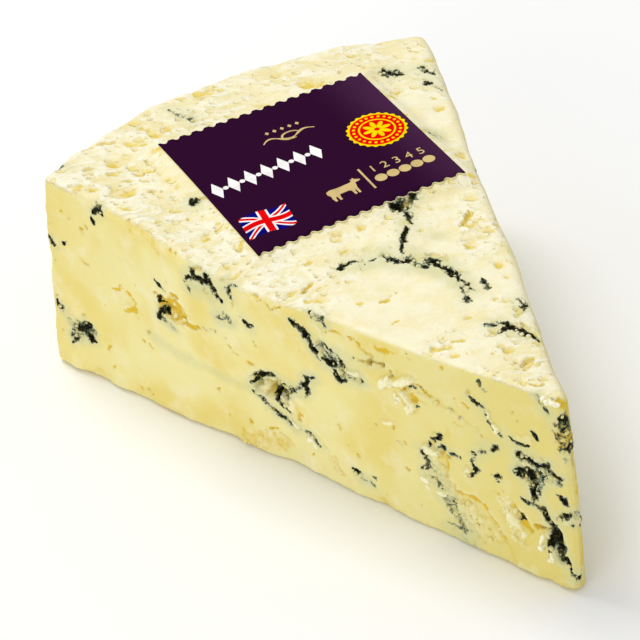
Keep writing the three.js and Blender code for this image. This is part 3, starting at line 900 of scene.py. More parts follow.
LEFT_FEATURES: tuple[Mark, ...] = (
    # The hooked vein under the shoulder with its branches, and the spots beside it
    vein(0.95, 0.8, (74.9, 31.6), (73.6, 32.8), (72, 32.8), (70.6, 33), (69.3, 33.3), (68.6, 32.4),
         (67.4, 31)),
    vein(0.9, 0.5, (75, 31.6), (75.3, 30.3), (74.1, 29.5), mould=0.9),
    vein(0.7, 0.4, (73.8, 34.2), (72.6, 33)),
    vein(0.7, 0.4, (70.8, 34.7), (70.1, 33.2)),
    patch(1.9, 0.1, (73.6, 31), (69.6, 31.6), mould=0.16),
    hollow(1, 0.3, (73, 34.2), (71.8, 34.4), ochre_shade=1),
    hollow(1.2, 0.5, (70.4, 35.1), (69.3, 35.2), mould=0.45, ochre_shade=1.3),
    vein(1, 0.6, (66.1, 34.3), (65.5, 33.4), (65, 32.4)),
    vein(0.7, 0.5, (65.8, 34.5), (64.6, 35.1), (63.7, 34.8)),
    vein(0.5, 0.3, (68.8, 27.6), (66.9, 28.3), (65.6, 28), mould=0.8, stain=1),
    vein(0.45, 0.3, (67, 29.3), (66.8, 28.3), mould=0.8, stain=0.6),
    vein(0.7, 0.4, (63, 29.5), (61.6, 28.3), mould=0.9, stain=0.6),
    vein(0.5, 0.3, (62.2, 28.6), (61, 29.3), mould=0.7, stain=0.4),
    vein(0.8, 0.5, (82.9, 26.8), (81.5, 26.2), mould=0.9, stain=0.5),
    vein(0.35, 0.3, (83.4, 27.8), (81.6, 26.2), (79.6, 25.6), mould=0.15, stain=0.2, ochre_shade=1),
    # The torn cavity with painted golden shade, and the angular crater near the rind
    hollow(1.1, 0.4, (79.1, 26.1), (77.8, 26.4), ochre_shade=1.3),
    hollow(3.6, 0.9, (81.4, 22.8), (78.2, 24.2)),
    hollow(3, 0.7, (79.2, 21), (77, 22.6)),
    crumble(5, 0.7, (81.8, 21.6), (77.6, 23.4), ochre_shade=1, pale=0),
    vein(0.9, 0.5, (82.7, 23.3), (82.2, 22.6), stain=0.1, ochre_shade=0.8),
    vein(0.9, 0.6, (83.9, 18.9), (82.6, 20.4), (81.5, 21.3), (80.3, 21.6), stain=0.3),
    patch(1.7, 0.3, (82.8, 19.4), (80.4, 18.6)),
    lump(1.5, 0.8, (79.1, 20.6), (77.8, 21.4), pale=0.35),
    hollow(1.1, 0.4, (76.4, 21.4), (73.6, 22.9)),
    vein(0.4, 0.3, (72.4, 23.7), (71, 23.6), mould=0.3, stain=0.3, ochre_shade=1),
    vein(0.4, 0.3, (70.7, 24.1), (69.4, 24.9), mould=0.3, stain=0.3, ochre_shade=1),
    vein(0.35, 0.3, (68.2, 24.6), (67, 23.8), mould=0.2, stain=0.1, ochre_shade=0.9),
    hollow(4.2, 0.35, (92, 19.3), (90.2, 18.9), ochre_shade=0.05),
    crack(1, 0.3, (94, 19.6), (92.6, 20.2), (91, 21.5), ochre_shade=1.1),
    crack(1, 0.35, (91.6, 21.4), (90, 19.9), (88.4, 18.8), ochre_shade=1.1),
    crack(1, 0.3, (88.5, 19.3), (88.9, 17.4), (92, 16.6), ochre_shade=1),
    # Spots and clusters near the rind
    vein(1.1, 0.5, (94.6, 35.2), (95.4, 34.2), (96.2, 32.8), stain=0.5, ochre_shade=0.5),
    vein(0.9, 0.5, (95.2, 34.4), (94, 33.4), stain=0.4),
    vein(0.8, 0.4, (96.7, 31.8), (96.1, 30.8), mould=0.9, stain=0.3),
    vein(1, 0.4, (107.4, 24), (106, 22.6), mould=0.85),
    vein(0.6, 0.4, (103.7, 24.1), (104.2, 24.5), mould=0.8, stain=0.3),
    vein(0.9, 0.4, (106.3, 12.2), (105.2, 10.8), mould=0.65),
    patch(4.6, 0.5, (102.6, 8.2), (100.8, 8.6), mould=0.5, stain=0.7, ochre_shade=0.4),
    vein(1.1, 0.8, (103.9, 9.5), (102, 8.4), (99.4, 10.2)),
    vein(1.1, 0.7, (102, 8.4), (100.4, 7.4), (98.9, 7.7)),
    vein(1, 0.6, (103.5, 5.9), (102.2, 6.6), mould=0.9),
    hollow(0.8, 0.4, (102.4, 29.2), (102.8, 29.2), ochre_shade=0.5),
    hollow(0.9, 0.5, (98.9, 29.5), (98.4, 29.2), ochre_shade=1),
    hollow(0.8, 0.4, (100.4, 28.5), (99.8, 28.2), ochre_shade=1),
    hollow(0.5, 0.3, (98.2, 22.2), (100.6, 22.7), ochre_shade=0.6),
    # Dips under the top edge, with painted butter-yellow shade in them
    hollow(3, 0.15, (87.6, 34.8), (84, 34.4), ochre_shade=0.3),
    hollow(1.3, 0.15, (82.8, 34.4), (81.6, 32.6), ochre_shade=0.32),
    hollow(0.6, 0.25, (78.5, 34.7), (77.4, 34), ochre_shade=1),
    hollow(1.4, 0.3, (60.9, 34.9), (60.1, 34.6), ochre_shade=0.55),
    hollow(0.6, 0.3, (58.9, 34.3), (57.7, 33.2), ochre_shade=0.6),
    hollow(0.5, 0.3, (57.1, 33.2), (55.6, 34.4), ochre_shade=0.75),
    hollow(0.8, 0.3, (25.5, 34.5), (25.2, 33.6), ochre_shade=0.8),
    vein(0.35, 0.3, (61.6, 26.1), (60.8, 25.2), (59.9, 23.8), mould=0.1, stain=0.1, ochre_shade=0.9),
    # The black vein, and the grey-green patch with black islands below it
    vein(1, 0.8, (53.6, 32.5), (52.2, 31.7), (51.2, 30.9), (50.2, 29.6), stain=0.5),
    vein(0.7, 0.6, (50.6, 30.2), (49.8, 28.3), (48.7, 26.4), stain=0.5),
    patch(2.6, 0.5, (48.4, 29.2), (44.6, 26.9), mould=0.42, stain=0.9, ochre_shade=0.1),
    vein(0.6, 0.5, (48.2, 27.6), (46.8, 26.9), (45.2, 26.6)),
    vein(0.9, 0.6, (45.6, 28.4), (44.3, 28.3), (43.6, 27.1)),
    vein(0.8, 0.5, (47.4, 29.5), (46, 28.8)),
    patch(2, 0.3, (44.8, 26), (41.6, 25.8), mould=0.3, stain=0.6),
    vein(1, 0.7, (46, 25.7), (45.2, 24.3), (43.9, 24.8)),
    vein(0.7, 0.5, (41.6, 25.9), (40.4, 25.7)),
    lump(1.1, 0.5, (43.4, 26.9), (41.4, 26.6), pale=0.6),
    vein(0.9, 0.4, (50.7, 34.8), (49, 34.4), (47.2, 33.8), mould=0.62, stain=0.9),
    slab(1.3, 0.3, (49.8, 33.3), (47.8, 31.9), pale=0.3),
    # Cracks beside it, with painted golden shade in them
    crack(0.75, 0.3, (47.8, 32.2), (46, 33), (44, 33.1), ochre_shade=1.3),
    vein(0.7, 0.4, (44.4, 33.1), (42.4, 33.2), (40.8, 32.5), (39.8, 31.5), (38.2, 31), mould=0.1, stain=0.1,
         ochre_shade=1.6),
    hollow(1.1, 0.3, (40.6, 32.2), (38.4, 31), ochre_shade=0.8),
    crack(0.8, 0.3, (38.6, 33.5), (37, 32.9), (35.8, 33.2), (34.2, 32.9), ochre_shade=1.6),
    hollow(0.9, 0.2, (37, 32.7), (35.4, 32.8), ochre_shade=0.8),
    vein(0.45, 0.3, (32.2, 34.3), (31.6, 33.3), (30.9, 33.1), mould=0.2, stain=0.2, ochre_shade=1.1),
    patch(0.8, 0.2, (42.2, 29.3), (38.8, 30), mould=0.3, stain=0.6, ochre_shade=0.6),
    hollow(1.1, 0.4, (39, 29.9), (36.8, 30.3), mould=0.3, stain=0.3),
    crack(0.4, 0.3, (35.7, 29.6), (34.7, 29.3), mould=0.2, ochre_shade=1.3),
    # The deep cavity under a dark arch, with a pale lump in it
    hollow(4.6, 1.8, (62.6, 14.2), (59, 16.4), stain=0.3, ochre_shade=0.35),
    vein(1.4, 1.2, (64.6, 14.8), (63, 16.9), (61.2, 19), (58.7, 19.7), stain=0.8, ochre_shade=0.9),
    patch(1.2, 0.3, (58.7, 18.9), (56.8, 18), mould=0.34),
    vein(2, 1.8, (57.7, 18), (58.4, 16.2), (60.2, 13.8), (59.6, 12), stain=0.5, ochre_shade=1.2),
    hollow(1.1, 0.6, (61, 15), (61.3, 13.4), ochre_shade=1.3),
    lump(2, 1.5, (63.4, 13.2), (61.9, 15.4), pale=0.35),
    lump(2.2, 0.6, (57, 14.5), (57, 12.5), pale=0.4),
    vein(0.6, 0.5, (59.1, 12.8), (57.9, 11)),
    vein(1, 0.9, (57.3, 17.3), (55.8, 17.8), (54.8, 17.4), stain=0.8),
    vein(0.8, 0.7, (55.2, 17.6), (53.5, 19.9), (52.2, 20.7), (51.5, 22.4), (50.3, 23), stain=0.9),
    vein(0.7, 0.5, (52.2, 20.7), (52, 19.6), (53.2, 17.2)),
    vein(1, 0.5, (51.8, 22.6), (51.6, 21.6)),
    # The grey-green crack that leads into it, and the flakes along its lower end
    vein(1.6, 0.1, (86.5, 13.9), (78.2, 12.7), (73, 12.7), (67.8, 12.8), (64.8, 12.6), mould=0.08,
         stain=0.65),
    vein(0.9, 0.5, (65, 12.6), (63, 10.9), (61.5, 9.7), (59.2, 8.4), (58, 7.8), mould=0.72, stain=1),
    lump(1.2, 0.4, (57.9, 8.9), (56.8, 8.3), pale=0.7),
    vein(0.7, 0.4, (56.2, 8.1), (54, 7.5), (52.9, 6.3), mould=0.62),
    lump(0.8, 0.3, (55.2, 6.8), (53.6, 5.5), pale=0.9),
    slab(0.7, 0.3, (53.2, 8.5), (51, 6.2), pale=0.4),
    hollow(0.9, 0.4, (63.7, 5.3), (61.6, 6.1), ochre_shade=1.1),
    hollow(0.7, 0.3, (67, 5.6), (66.7, 5), ochre_shade=0.9),
    hollow(0.6, 0.3, (55.8, 12.2), (56.2, 9.8), ochre_shade=0.8),
    crumble(4.4, 0.7, (67.5, 1.6), (60.5, 3.8), ochre_shade=0.4, pale=0.25),
    crumble(2, 0.6, (50.3, 5), (49.4, 2.8), ochre_shade=0.6),
    vein(0.8, 0.5, (46.2, 4.8), (45.2, 4.4), stain=0.4),
    crack(0.5, 0.3, (45.3, 4.5), (43.9, 4.6), mould=0.2, stain=0.1),
    vein(0.4, 0.3, (42.4, 5.1), (41.5, 5.6), mould=0.7, stain=0.1, ochre_shade=0.6),
    patch(1.3, 0.1, (44.4, 3.6), (42.4, 3.4), mould=0.24, stain=0.7),
    # The pale flakes, and the broken golden line that runs from them
    slab(1.8, 0.8, (36.4, 27.6), (33.4, 28.7), (31.3, 29.2)),
    slab(1.7, 0.8, (32.6, 26.6), (31.6, 25.4), (31.9, 23.7), pale=0.55),
    slab(0.9, 0.35, (34.3, 25.9), (33.4, 24.3)),
    crack(0.45, 0.5, (34, 27.3), (32, 27.7), mould=0.2, ochre_shade=1.5),
    crack(0.4, 0.4, (31.8, 28.3), (31.3, 28.1), mould=0.85),
    crack(0.4, 0.4, (30.9, 28.3), (30.5, 28.1), mould=0.85),
    crack(0.5, 0.4, (30.4, 28.5), (29.2, 28.1), (27.6, 27.1), mould=0.28, ochre_shade=1.6),
    crack(0.55, 0.4, (27.2, 26.6), (25.9, 26.3), mould=0.4, ochre_shade=1.5),
    crack(0.4, 0.4, (25, 26.4), (23.7, 26.1), mould=0.2, stain=0.1),
    crack(0.5, 0.4, (23.2, 25.9), (22.1, 25.5), mould=0.42, ochre_shade=1.5),
    vein(0.45, 0.4, (22, 25.5), (20.4, 24.6), (18.5, 23.5), mould=0.15, stain=0.1, ochre_shade=1.3),
    ledge(1.2, 0.35, (33, 27.6), (28.2, 27.3), (23.2, 25.7), (18.6, 23.6), ochre_shade=0.1),
    crack(0.5, 0.25, (30.8, 26.3), (28.8, 25.9), (26.2, 25.3), (24, 24.6), (22, 24.2), (18.8, 23.5),
          stain=0.25, ochre_shade=0.6),
    crack(1, 0.3, (31.4, 27.2), (30.1, 25.5), ochre_shade=0.9),
    vein(0.6, 0.4, (30.3, 25.2), (30.1, 24.7), stain=0, ochre_shade=0.8),
    lump(1.5, 0.4, (36.6, 19.3), (35.9, 19.6)),
    hollow(0.6, 0.3, (35.4, 19.2), (35.8, 18), ochre_shade=1),
    vein(0.5, 0.4, (35.3, 16.1), (34.4, 14.8), mould=0.5, stain=0.2, ochre_shade=1.3),
    hollow(0.6, 0.3, (23.7, 29), (23.3, 28.8)),
    hollow(0.6, 0.3, (21.7, 28.6), (20.9, 28)),
    # The thin slanting vein beside it, and the small marks above
    vein(0.7, 0.5, (20.4, 29.9), (18.9, 29.2), (17.9, 28.1), mould=0.9, stain=0.6),
    vein(0.5, 0.4, (18.1, 28.1), (16.6, 26.4), (14.7, 25), mould=0.8, stain=0.5),
    slab(0.8, 0.35, (17.6, 28.4), (15.3, 26.1), pale=0.6),
    vein(0.7, 0.3, (18.4, 33.7), (17.8, 33.2), mould=0.8, stain=0.3),
    vein(0.4, 0.3, (18, 32.6), (16.9, 31.8), mould=0.4, stain=0.1, ochre_shade=0.5),
    vein(0.5, 0.4, (13.2, 25.3), (11.8, 24.4), (10.1, 24.9), mould=0.95, stain=0.5),
    vein(0.8, 0.4, (9.1, 27.4), (7.9, 26.7), mould=0.95, stain=0.4),
    lump(1.6, 0.3, (11.6, 26), (9.6, 25.9), pale=0.2),
    # Clusters in the middle of the thin half
    vein(1.1, 0.6, (27.7, 19.4), (26.5, 20.6), mould=0.95, stain=0.3, ochre_shade=0.8),
    vein(0.6, 0.3, (28.4, 19.1), (27.8, 18.9), stain=0.2),
    vein(0.6, 0.3, (29.4, 18.1), (28.9, 17.8), stain=0.2),
    vein(1.4, 1, (31.4, 16.1), (30.2, 15.3), stain=0.5),
    vein(0.9, 0.9, (30.6, 15.6), (30.2, 14.2), (30, 13.2), (31.5, 11.5), stain=0.6),
    lump(1.9, 0.9, (29.8, 17), (28, 16.6), pale=0.55),
    vein(0.9, 0.7, (27.5, 18), (25.6, 17.9), stain=0.8),
    hollow(1, 0.4, (27, 16.9), (26, 16.7), mould=0.2, ochre_shade=1.1),
    vein(0.7, 0.5, (25.2, 17.6), (24, 17.2), mould=0.9, stain=0.2, ochre_shade=0.8),
    vein(0.9, 0.5, (20.9, 19.6), (20.2, 19.2), stain=0.5),
    vein(0.4, 0.3, (20.4, 19.4), (18.7, 20.8), mould=0.6, stain=0.9),
    vein(0.8, 0.5, (17.2, 21.2), (16.3, 22.1), (15.6, 23)),
    vein(0.6, 0.4, (17, 22.4), (15.9, 21.6), stain=0.4),
    vein(0.9, 0.6, (21, 17.6), (20.5, 16), (22.1, 14.4), mould=0.95, stain=0.4, ochre_shade=0.9),
    vein(0.35, 0.3, (20.4, 19.2), (20.9, 17.4), mould=0.7, stain=0.2),
    lump(1.3, 0.5, (22.9, 14.6), (22.2, 15.8)),
    vein(0.5, 0.3, (17.7, 16.4), (16.8, 16.1), (15.9, 16.8), mould=0.9, stain=0.1, ochre_shade=0.6),
    crack(0.4, 0.3, (16.9, 16.1), (16.5, 15.2), mould=0.6, ochre_shade=0.6),
    # The large black cluster near the point
    patch(4, 0.5, (11.4, 19.2), (7.4, 20.6), mould=0.34, stain=1, ochre_shade=0.1),
    vein(1.2, 0.8, (12.3, 21.5), (11.7, 22.6), (10.8, 22.5), stain=0.8),
    vein(0.9, 0.7, (11.2, 22.6), (9.5, 21.9), (7.2, 21.7), (6.1, 22.4), stain=1),
    vein(1, 0.6, (7.8, 21.5), (6, 20.9), (4.4, 20.4), mould=0.9, stain=0.8),
    vein(1.5, 1.1, (11, 20.6), (9.8, 18.5), (10.2, 16.4), (10.2, 14.5), stain=0.8),
    vein(1.1, 0.6, (13, 18.6), (11.8, 18.9), (10.4, 19.4), mould=0.8, stain=0.8),
    vein(0.6, 0.4, (8.5, 20.6), (9, 17.4), (8.5, 15.8), mould=0.75, stain=0.6),
    slab(0.9, 0.5, (11, 21.6), (9.6, 20.8), pale=0.45),
    slab(0.8, 0.4, (7.2, 20.3), (4.8, 19.5), mould=0.3, pale=0.2),
    vein(1, 0.4, (5.7, 17.2), (4.8, 16.6), (3.9, 16.2), mould=0.95, stain=0.3),
    # The vein that drops from it to the black patch, and that patch
    vein(0.7, 0.4, (12.5, 14.4), (11.5, 13.9), (10.3, 13.6), mould=0.85, stain=0.5),
    vein(1.1, 0.8, (9.8, 14), (8.5, 13.2), (8.2, 12.2), (6.9, 11.6), stain=0.5),
    hollow(1.1, 0.4, (10.4, 9.5), (8.2, 9.9), mould=0.25, ochre_shade=1.4),
    patch(3, 0.8, (6, 5.8), (6.7, 9.8), mould=0.78, ochre_shade=0.2),
    vein(1.5, 0.9, (7.4, 11.4), (6.4, 9.8), (6.1, 7.2), (5, 5.2), (4.5, 4.3), stain=0.9),
    vein(0.9, 0.6, (7.2, 9.4), (7.9, 6.2), stain=0.3),
    lump(1, 0.5, (8.9, 8.6), (9.3, 6.2), pale=0.8),
    lump(0.9, 0.4, (7.9, 5.7), (7.4, 4.6), pale=0.7),
    patch(1.8, 0.2, (4.4, 3.4), (3.4, 3.2), mould=0.8, stain=0.9, ochre_shade=0.2),
    lump(1.7, 0.6, (4.6, 12.8), (3.4, 13.4), pale=0.3),
    vein(0.7, 0.5, (5.9, 12.8), (4.8, 14), (3.4, 14.2), mould=0.95),
    # The crumbly band, and the lumps low near the point with painted golden shade round them
    crumble(7.4, 0.9, (29, 12.5), (25.5, 7.6), (19.5, 5), stain=0.2, ochre_shade=0.1, pale=0.3),
    ledge(1.4, 0.6, (16.8, 5.4), (17.8, 7.2), (18.8, 8.8), (20.2, 9.8), (22, 10.2), (24.8, 10.5),
          (26.4, 12), (26, 16.2), ochre_shade=1.1),
    patch(3, 0.2, (29.2, 12.4), (28, 9.2), mould=0.18),
    vein(0.5, 0.3, (30.4, 11), (28.6, 9.8), (26.8, 8.6), mould=0.6, stain=0.5),
    patch(3.2, 0.3, (27, 7.4), (24.6, 3.2), mould=0.42, ochre_shade=0.3),
    vein(0.5, 0.3, (27.6, 2.8), (24, 2.4), mould=0.5),
    patch(1.9, 0.1, (27, 1.5), (22.8, 1.4), mould=0.14),
    lump(0.9, 0.3, (31.6, 9.8), (30.9, 9.5), pale=0.9),
    lump(0.9, 0.3, (30.9, 8.6), (30.6, 8.2), pale=0.9),
    lump(1, 0.3, (29, 8.5), (28.2, 8.2), pale=0.9),
    crumble(4.2, 0.8, (15.6, 12.2), (13.6, 6.4)),
    hollow(2, 0.4, (14.4, 12.2), (13.3, 10.5), (11.8, 8.4), mould=0.12, ochre_shade=0.65),
    crack(0.8, 0.5, (14, 12.4), (12.9, 10.4), (11.9, 8.8), mould=0.1, ochre_shade=1.5),
    lump(1.2, 0.5, (15.4, 10.9), (14.9, 10.1), pale=0.6),
    lump(1.2, 0.5, (13.1, 7.5), (12.4, 6.9), pale=0.6),
    vein(0.6, 0.4, (13.4, 10.6), (12.3, 9.7), stain=0.1),
    lump(2, 0.8, (14.8, 9.6), (13.4, 8.6)),
    # A pale flake at the top of the thin edge, and painted brown shade beside its mould
    patch(1.6, 0.1, (4.6, 30.8), (3.7, 29.6), mould=0.4, stain=0.4, ochre_shade=0.8),
    hollow(2, 0.12, (4.3, 28.8), (3.5, 26.4), mould=0.5, stain=0.4),
    patch(1.4, 0.3, (7.4, 35), (5.9, 33), mould=0.55, stain=0.9),
    lump(1.8, 0.6, (5.6, 35), (3.6, 34.4), pale=0.9),
    slab(0.8, 0.3, (8.8, 35.2), (7.6, 35.2), pale=0.7),
)

POINT_FEATURES: tuple[Mark, ...] = (
    hollow(3, 0.1, (-0.1, 34.6), (1.4, 31.8), ochre_shade=0.95),
    hollow(0.8, 0.2, (1.2, 34.4), (1.6, 33.4), mould=0.8, ochre_shade=0.6),
    vein(1.3, 0.3, (-1, 31.6), (0.3, 31.5), (1.4, 30.8), mould=0.9, stain=0.4, ochre_shade=0.5),
    hollow(4, 0.15, (-0.6, 30.4), (0.9, 27), mould=0.52, stain=0.4),
    vein(1.4, 0.3, (-0.5, 26.8), (0.3, 26), (1.4, 25.4), mould=0.85, stain=0.4, ochre_shade=0.8),
    vein(0.6, 0.2, (-1.3, 24.8), (-0.1, 23.8), mould=0.55, stain=0.3, ochre_shade=0.5),
    hollow(2, 0.08, (1.2, 24), (1.4, 17), ochre_shade=0.8),
    patch(1.2, 0.1, (0.2, 14.4), (1.4, 13.9), mould=0.34, stain=0.9, ochre_shade=0.3),
    lump(1.3, 0.4, (-0.6, 12.9), (0.5, 12.8), pale=0.2),
    vein(0.6, 0.3, (-1.5, 13.5), (-1.1, 12.3), stain=0.6),
    vein(0.9, 0.3, (0.9, 13.1), (1.4, 11.8), stain=0.6),
    hollow(1.6, 0.05, (1, 11), (1, 5), ochre_shade=0.6),
    patch(1.3, 0.2, (-1.1, 2.9), (0.1, 2.7), mould=0.95, stain=0.9, ochre_shade=0.6),
)

TOP_FEATURES: tuple[Mark, ...] = (
    # The crack that leaves the card's near edge
    vein(1.3, 1, (4.1, 5.2), (4.9, 3.3), (6.4, 3), (8.4, 3.8), (9.7, 4.5), stain=0.5, ochre_shade=1.2),
    vein(0.6, 0.5, (5.8, 2.6), (5.2, 0.2), (4.6, -1.9), mould=0.8, stain=0.5),
    vein(0.6, 0.5, (6.3, 1.6), (5.3, -1), mould=0.45, stain=0.2, ochre_shade=1.3),
    vein(0.5, 0.4, (3.6, -1.8), (1.4, -4.6), (-0.4, -7.2), mould=0.95, stain=0.6),
    # The long vein towards the right edge
    vein(0.7, 0.4, (-9.4, -4.3), (-8.2, -4), (-6.2, -4.6), mould=0.75, stain=0.5, ochre_shade=0.8),
    vein(0.6, 0.3, (-6, -6), (-4.2, -6.1), mould=0.8, stain=0.8),
    vein(1, 0.8, (-3.2, -6), (-2.4, -8.4), (-1.2, -9.2), stain=0.8),
    vein(1.1, 0.8, (-1.6, -9), (-0.4, -9.6), (-0.3, -11), stain=0.8),
    vein(0.8, 0.5, (-0.1, -8.2), (-0.5, -9.8), stain=0.4),
    vein(0.6, 0.4, (-0.4, -10.8), (0.4, -12.2), (1, -13.2), mould=0.8, stain=0.8),
    vein(1.1, 0.8, (1.4, -11.2), (2.2, -13), (2.6, -14.4)),
    patch(1.7, 0.4, (2.5, -14.2), (2.9, -17.4), mould=0.55, stain=0.7),
    vein(0.9, 0.7, (2.5, -14.2), (3.3, -15.6), (2.8, -17.2), (3, -19.2)),
    vein(0.5, 0.3, (3, -19), (3.5, -22), mould=0.75, stain=0.4),
    vein(0.5, 0.4, (2.6, -19.2), (2.1, -21.6), (1.6, -23.6), mould=0.8, stain=0.3),
    vein(0.9, 0.5, (1.7, -23.5), (1.3, -24.8), stain=0.4),
    hollow(1.6, 0.4, (2.7, -10.7), (4.2, -12.8), ochre_shade=0.55),
    hollow(1, 0.3, (0.3, -10.4), (1.2, -10.8), ochre_shade=0.6),
    # Slits and cracks towards the point
    vein(0.9, 0.6, (6.3, -20.8), (5.8, -22.6), (5.1, -24.4), mould=0.6, stain=0.3, ochre_shade=1.3),
    vein(0.6, 0.4, (8, -28.6), (8.5, -29.5), (8.2, -30.8), (7.2, -31.7), mould=0.9, stain=0.5),
    vein(0.5, 0.4, (7.9, -28.8), (7.5, -30.2), (7.3, -31.6), mould=0.8, stain=0.3),
    vein(0.8, 0.6, (0.6, -30.6), (2.1, -32.1), stain=0.4),
    vein(0.9, 0.9, (2.6, -31.6), (3.8, -32.5), (3.5, -33.8), (4.2, -35.3), (4.8, -37), (5.4, -39.3),
         stain=0.6),
    vein(0.8, 0.4, (1.9, -33.1), (2.7, -33.7), mould=0.9, stain=0.3),
    hollow(1.2, 0.5, (4.6, -33.4), (5.4, -35.8), (6, -38.4), ochre_shade=0.9),
    ledge(1.5, 0.5, (5.5, -39), (4.2, -34.8), (3, -32.2)),
    # Mould beside the card on the right and at the rind
    vein(1, 0.7, (22.9, 38.8), (23.9, 38), (24.1, 36.6), stain=0.6),
    vein(1, 0.6, (25.2, 37.7), (25.1, 36.4), (26, 35.8), stain=0.5),
    vein(0.6, 0.4, (23, 38), (22.4, 36.2), mould=0.8, stain=0.4),
    vein(0.8, 0.5, (28.9, 35.8), (29.5, 34.2), (29.5, 32.2), mould=0.95),
    vein(1.1, 0.5, (27, 31.5), (28, 30.2), stain=0.5),
    vein(0.5, 0.4, (28, 30.2), (28.4, 27.6), mould=0.5, stain=0.4, ochre_shade=0.6),
    vein(0.9, 0.3, (20, 17.8), (20.3, 15.8), mould=0.55, stain=0.9),
    vein(1.2, 0.6, (-19.4, 24.4), (-18.6, 22.9), stain=0.5, ochre_shade=0.6),
    patch(1.2, 0.4, (-18.4, 23.9), (-17.4, 22.6), mould=0.2, stain=0.4, ochre_shade=1.1),
    vein(1.1, 0.5, (-31.4, 46.1), (-30.7, 45.3), mould=0.85, ochre_shade=0.9),
    vein(0.9, 0.5, (-9.8, 49.2), (-9.3, 47.2), (-8.2, 44), mould=0.35, stain=0.8),
    # Pits beside the card, with painted golden shade in them
    patch(1.1, 0.5, (-12.9, 40.1), (-11.6, 40.1), mould=0.3, stain=0.3, ochre_shade=0.8),
    hollow(1.5, 0.5, (-8.8, 40.2), (-7, 40.4)),
    hollow(1.4, 0.5, (-5.2, 40), (-2.8, 40.2)),
    hollow(1.1, 0.5, (-17.1, 11), (-17.2, 9.4), ochre_shade=1.3),
    hollow(1.4, 0.6, (-18.4, 16.4), (-17.5, 14.7)),
    hollow(1, 0.4, (-22.9, 21.9), (-21.4, 20.9), ochre_shade=1),
    hollow(1, 0.5, (-23, 30.6), (-21.5, 29.6), ochre_shade=0.9),
    hollow(1.3, 0.5, (-23.2, 47.7), (-21, 47.2), ochre_shade=0.9),
    hollow(0.9, 0.4, (-15.6, 47.6), (-15.1, 45.9), ochre_shade=0.6),
    hollow(0.9, 0.4, (-28.6, 42.3), (-27.4, 42), ochre_shade=0.6),
    hollow(0.9, 0.3, (30.4, 41.1), (30.9, 40.1), ochre_shade=0.7),
    # Pits towards the point, with painted golden shade in them
    hollow(1.4, 0.8, (14.1, -4.2), (12.6, -5.8), (11.3, -7.1), mould=0.1, ochre_shade=1.4),
    hollow(2.2, 0.2, (12.8, -7.8), (13.8, -11), ochre_shade=0.5),
    lump(1.2, 0.4, (10.2, -8), (10.6, -8.5), pale=0.9),
    lump(0.8, 0.3, (11.9, -4.4), (12.2, -4.8), pale=0.8),
    patch(0.7, 0.3, (6.1, -6.8), (6.3, -7.3), mould=0.35, stain=0.7, ochre_shade=0.5),
    hollow(0.9, 0.5, (-15, -5), (-13.8, -4.8), (-12.7, -4), mould=0.1, ochre_shade=1.4),
    crack(0.5, 0.3, (-13.8, -5.8), (-11.6, -6.8), (-9.4, -7.2), stain=0.2, ochre_shade=0.9),
    hollow(0.7, 0.2, (-15.1, -7.9), (-14.8, -6.8), ochre_shade=0.6),
    hollow(0.9, 0.3, (-11.9, 0.3), (-10.7, 0.1), ochre_shade=0.6),
    hollow(1.4, 0.2, (-7.2, -2.1), (-3, -4), stain=0.3, ochre_shade=0.3),
    crack(0.5, 0.25, (-11.2, -12.3), (-10.5, -14.2), (-9.2, -14.6), (-7.8, -14.5), ochre_shade=0.9),
    hollow(0.8, 0.4, (-7.7, -15.2), (-6.9, -15.5), (-6, -15.1), ochre_shade=1.1),
    crack(0.5, 0.25, (-10.4, -22.4), (-9.2, -21.2), (-6.3, -21.4), ochre_shade=0.9),
    hollow(2, 0.5, (-7.2, -30.4), (-5.8, -31), ochre_shade=0.6),
    hollow(0.6, 0.3, (-5.1, -28.9), (-4.5, -29.7), ochre_shade=1.1),
    hollow(1, 0.3, (-4.1, -30.5), (-2.9, -31.7), ochre_shade=0.7),
    hollow(0.8, 0.3, (-1.6, -36.5), (-1.3, -37.1), ochre_shade=0.8),
    hollow(1.9, 0.8, (0.5, -43.2), (1.9, -42.4), ochre_shade=1.1),
    hollow(1.1, 0.4, (-1.2, -47.9), (-0.4, -48.9), ochre_shade=1),
)

TOP_BITES: tuple[Scoop, ...] = (
    Scoop((-22.6, 41.9), 4.4, 4.2, 0.9, -0.75),
    Scoop((-25.8, 33.6), 4.6, 4.4, 0.95, -0.7),
    Scoop((-24.2, 35.6), 3.0, 1.6, 0.5, -0.75),
    Scoop((-18.4, 44.6), 3.4, 2.2, 0.5, -0.8),
    Scoop((-24.9, 38.8), 1.7, 1.6, 0.5, -0.7),
    Scoop((-19.8, 35.2), 1.9, 1.2, 0.4, -0.7),
    Scoop((-19.2, 31.6), 1.0, 1.3, 0.35, -0.6),
    Scoop((-27.4, 28.6), 4.2, 1.3, 0.5, -0.75),
    Scoop((-23.8, 26.6), 1.5, 1.1, 0.35, -0.7),
    Scoop((-18.9, 38.8), 1.2, 1.4, 0.4, -0.7),
    Scoop((-17.4, 37.6), 0.9, 1.2, 0.35, -0.7),
    Scoop((-27.6, 40.6), 1.4, 1.2, 0.4, -0.7),
    Scoop((-29.4, 36.6), 2.2, 1.0, 0.4, -1.0),
)


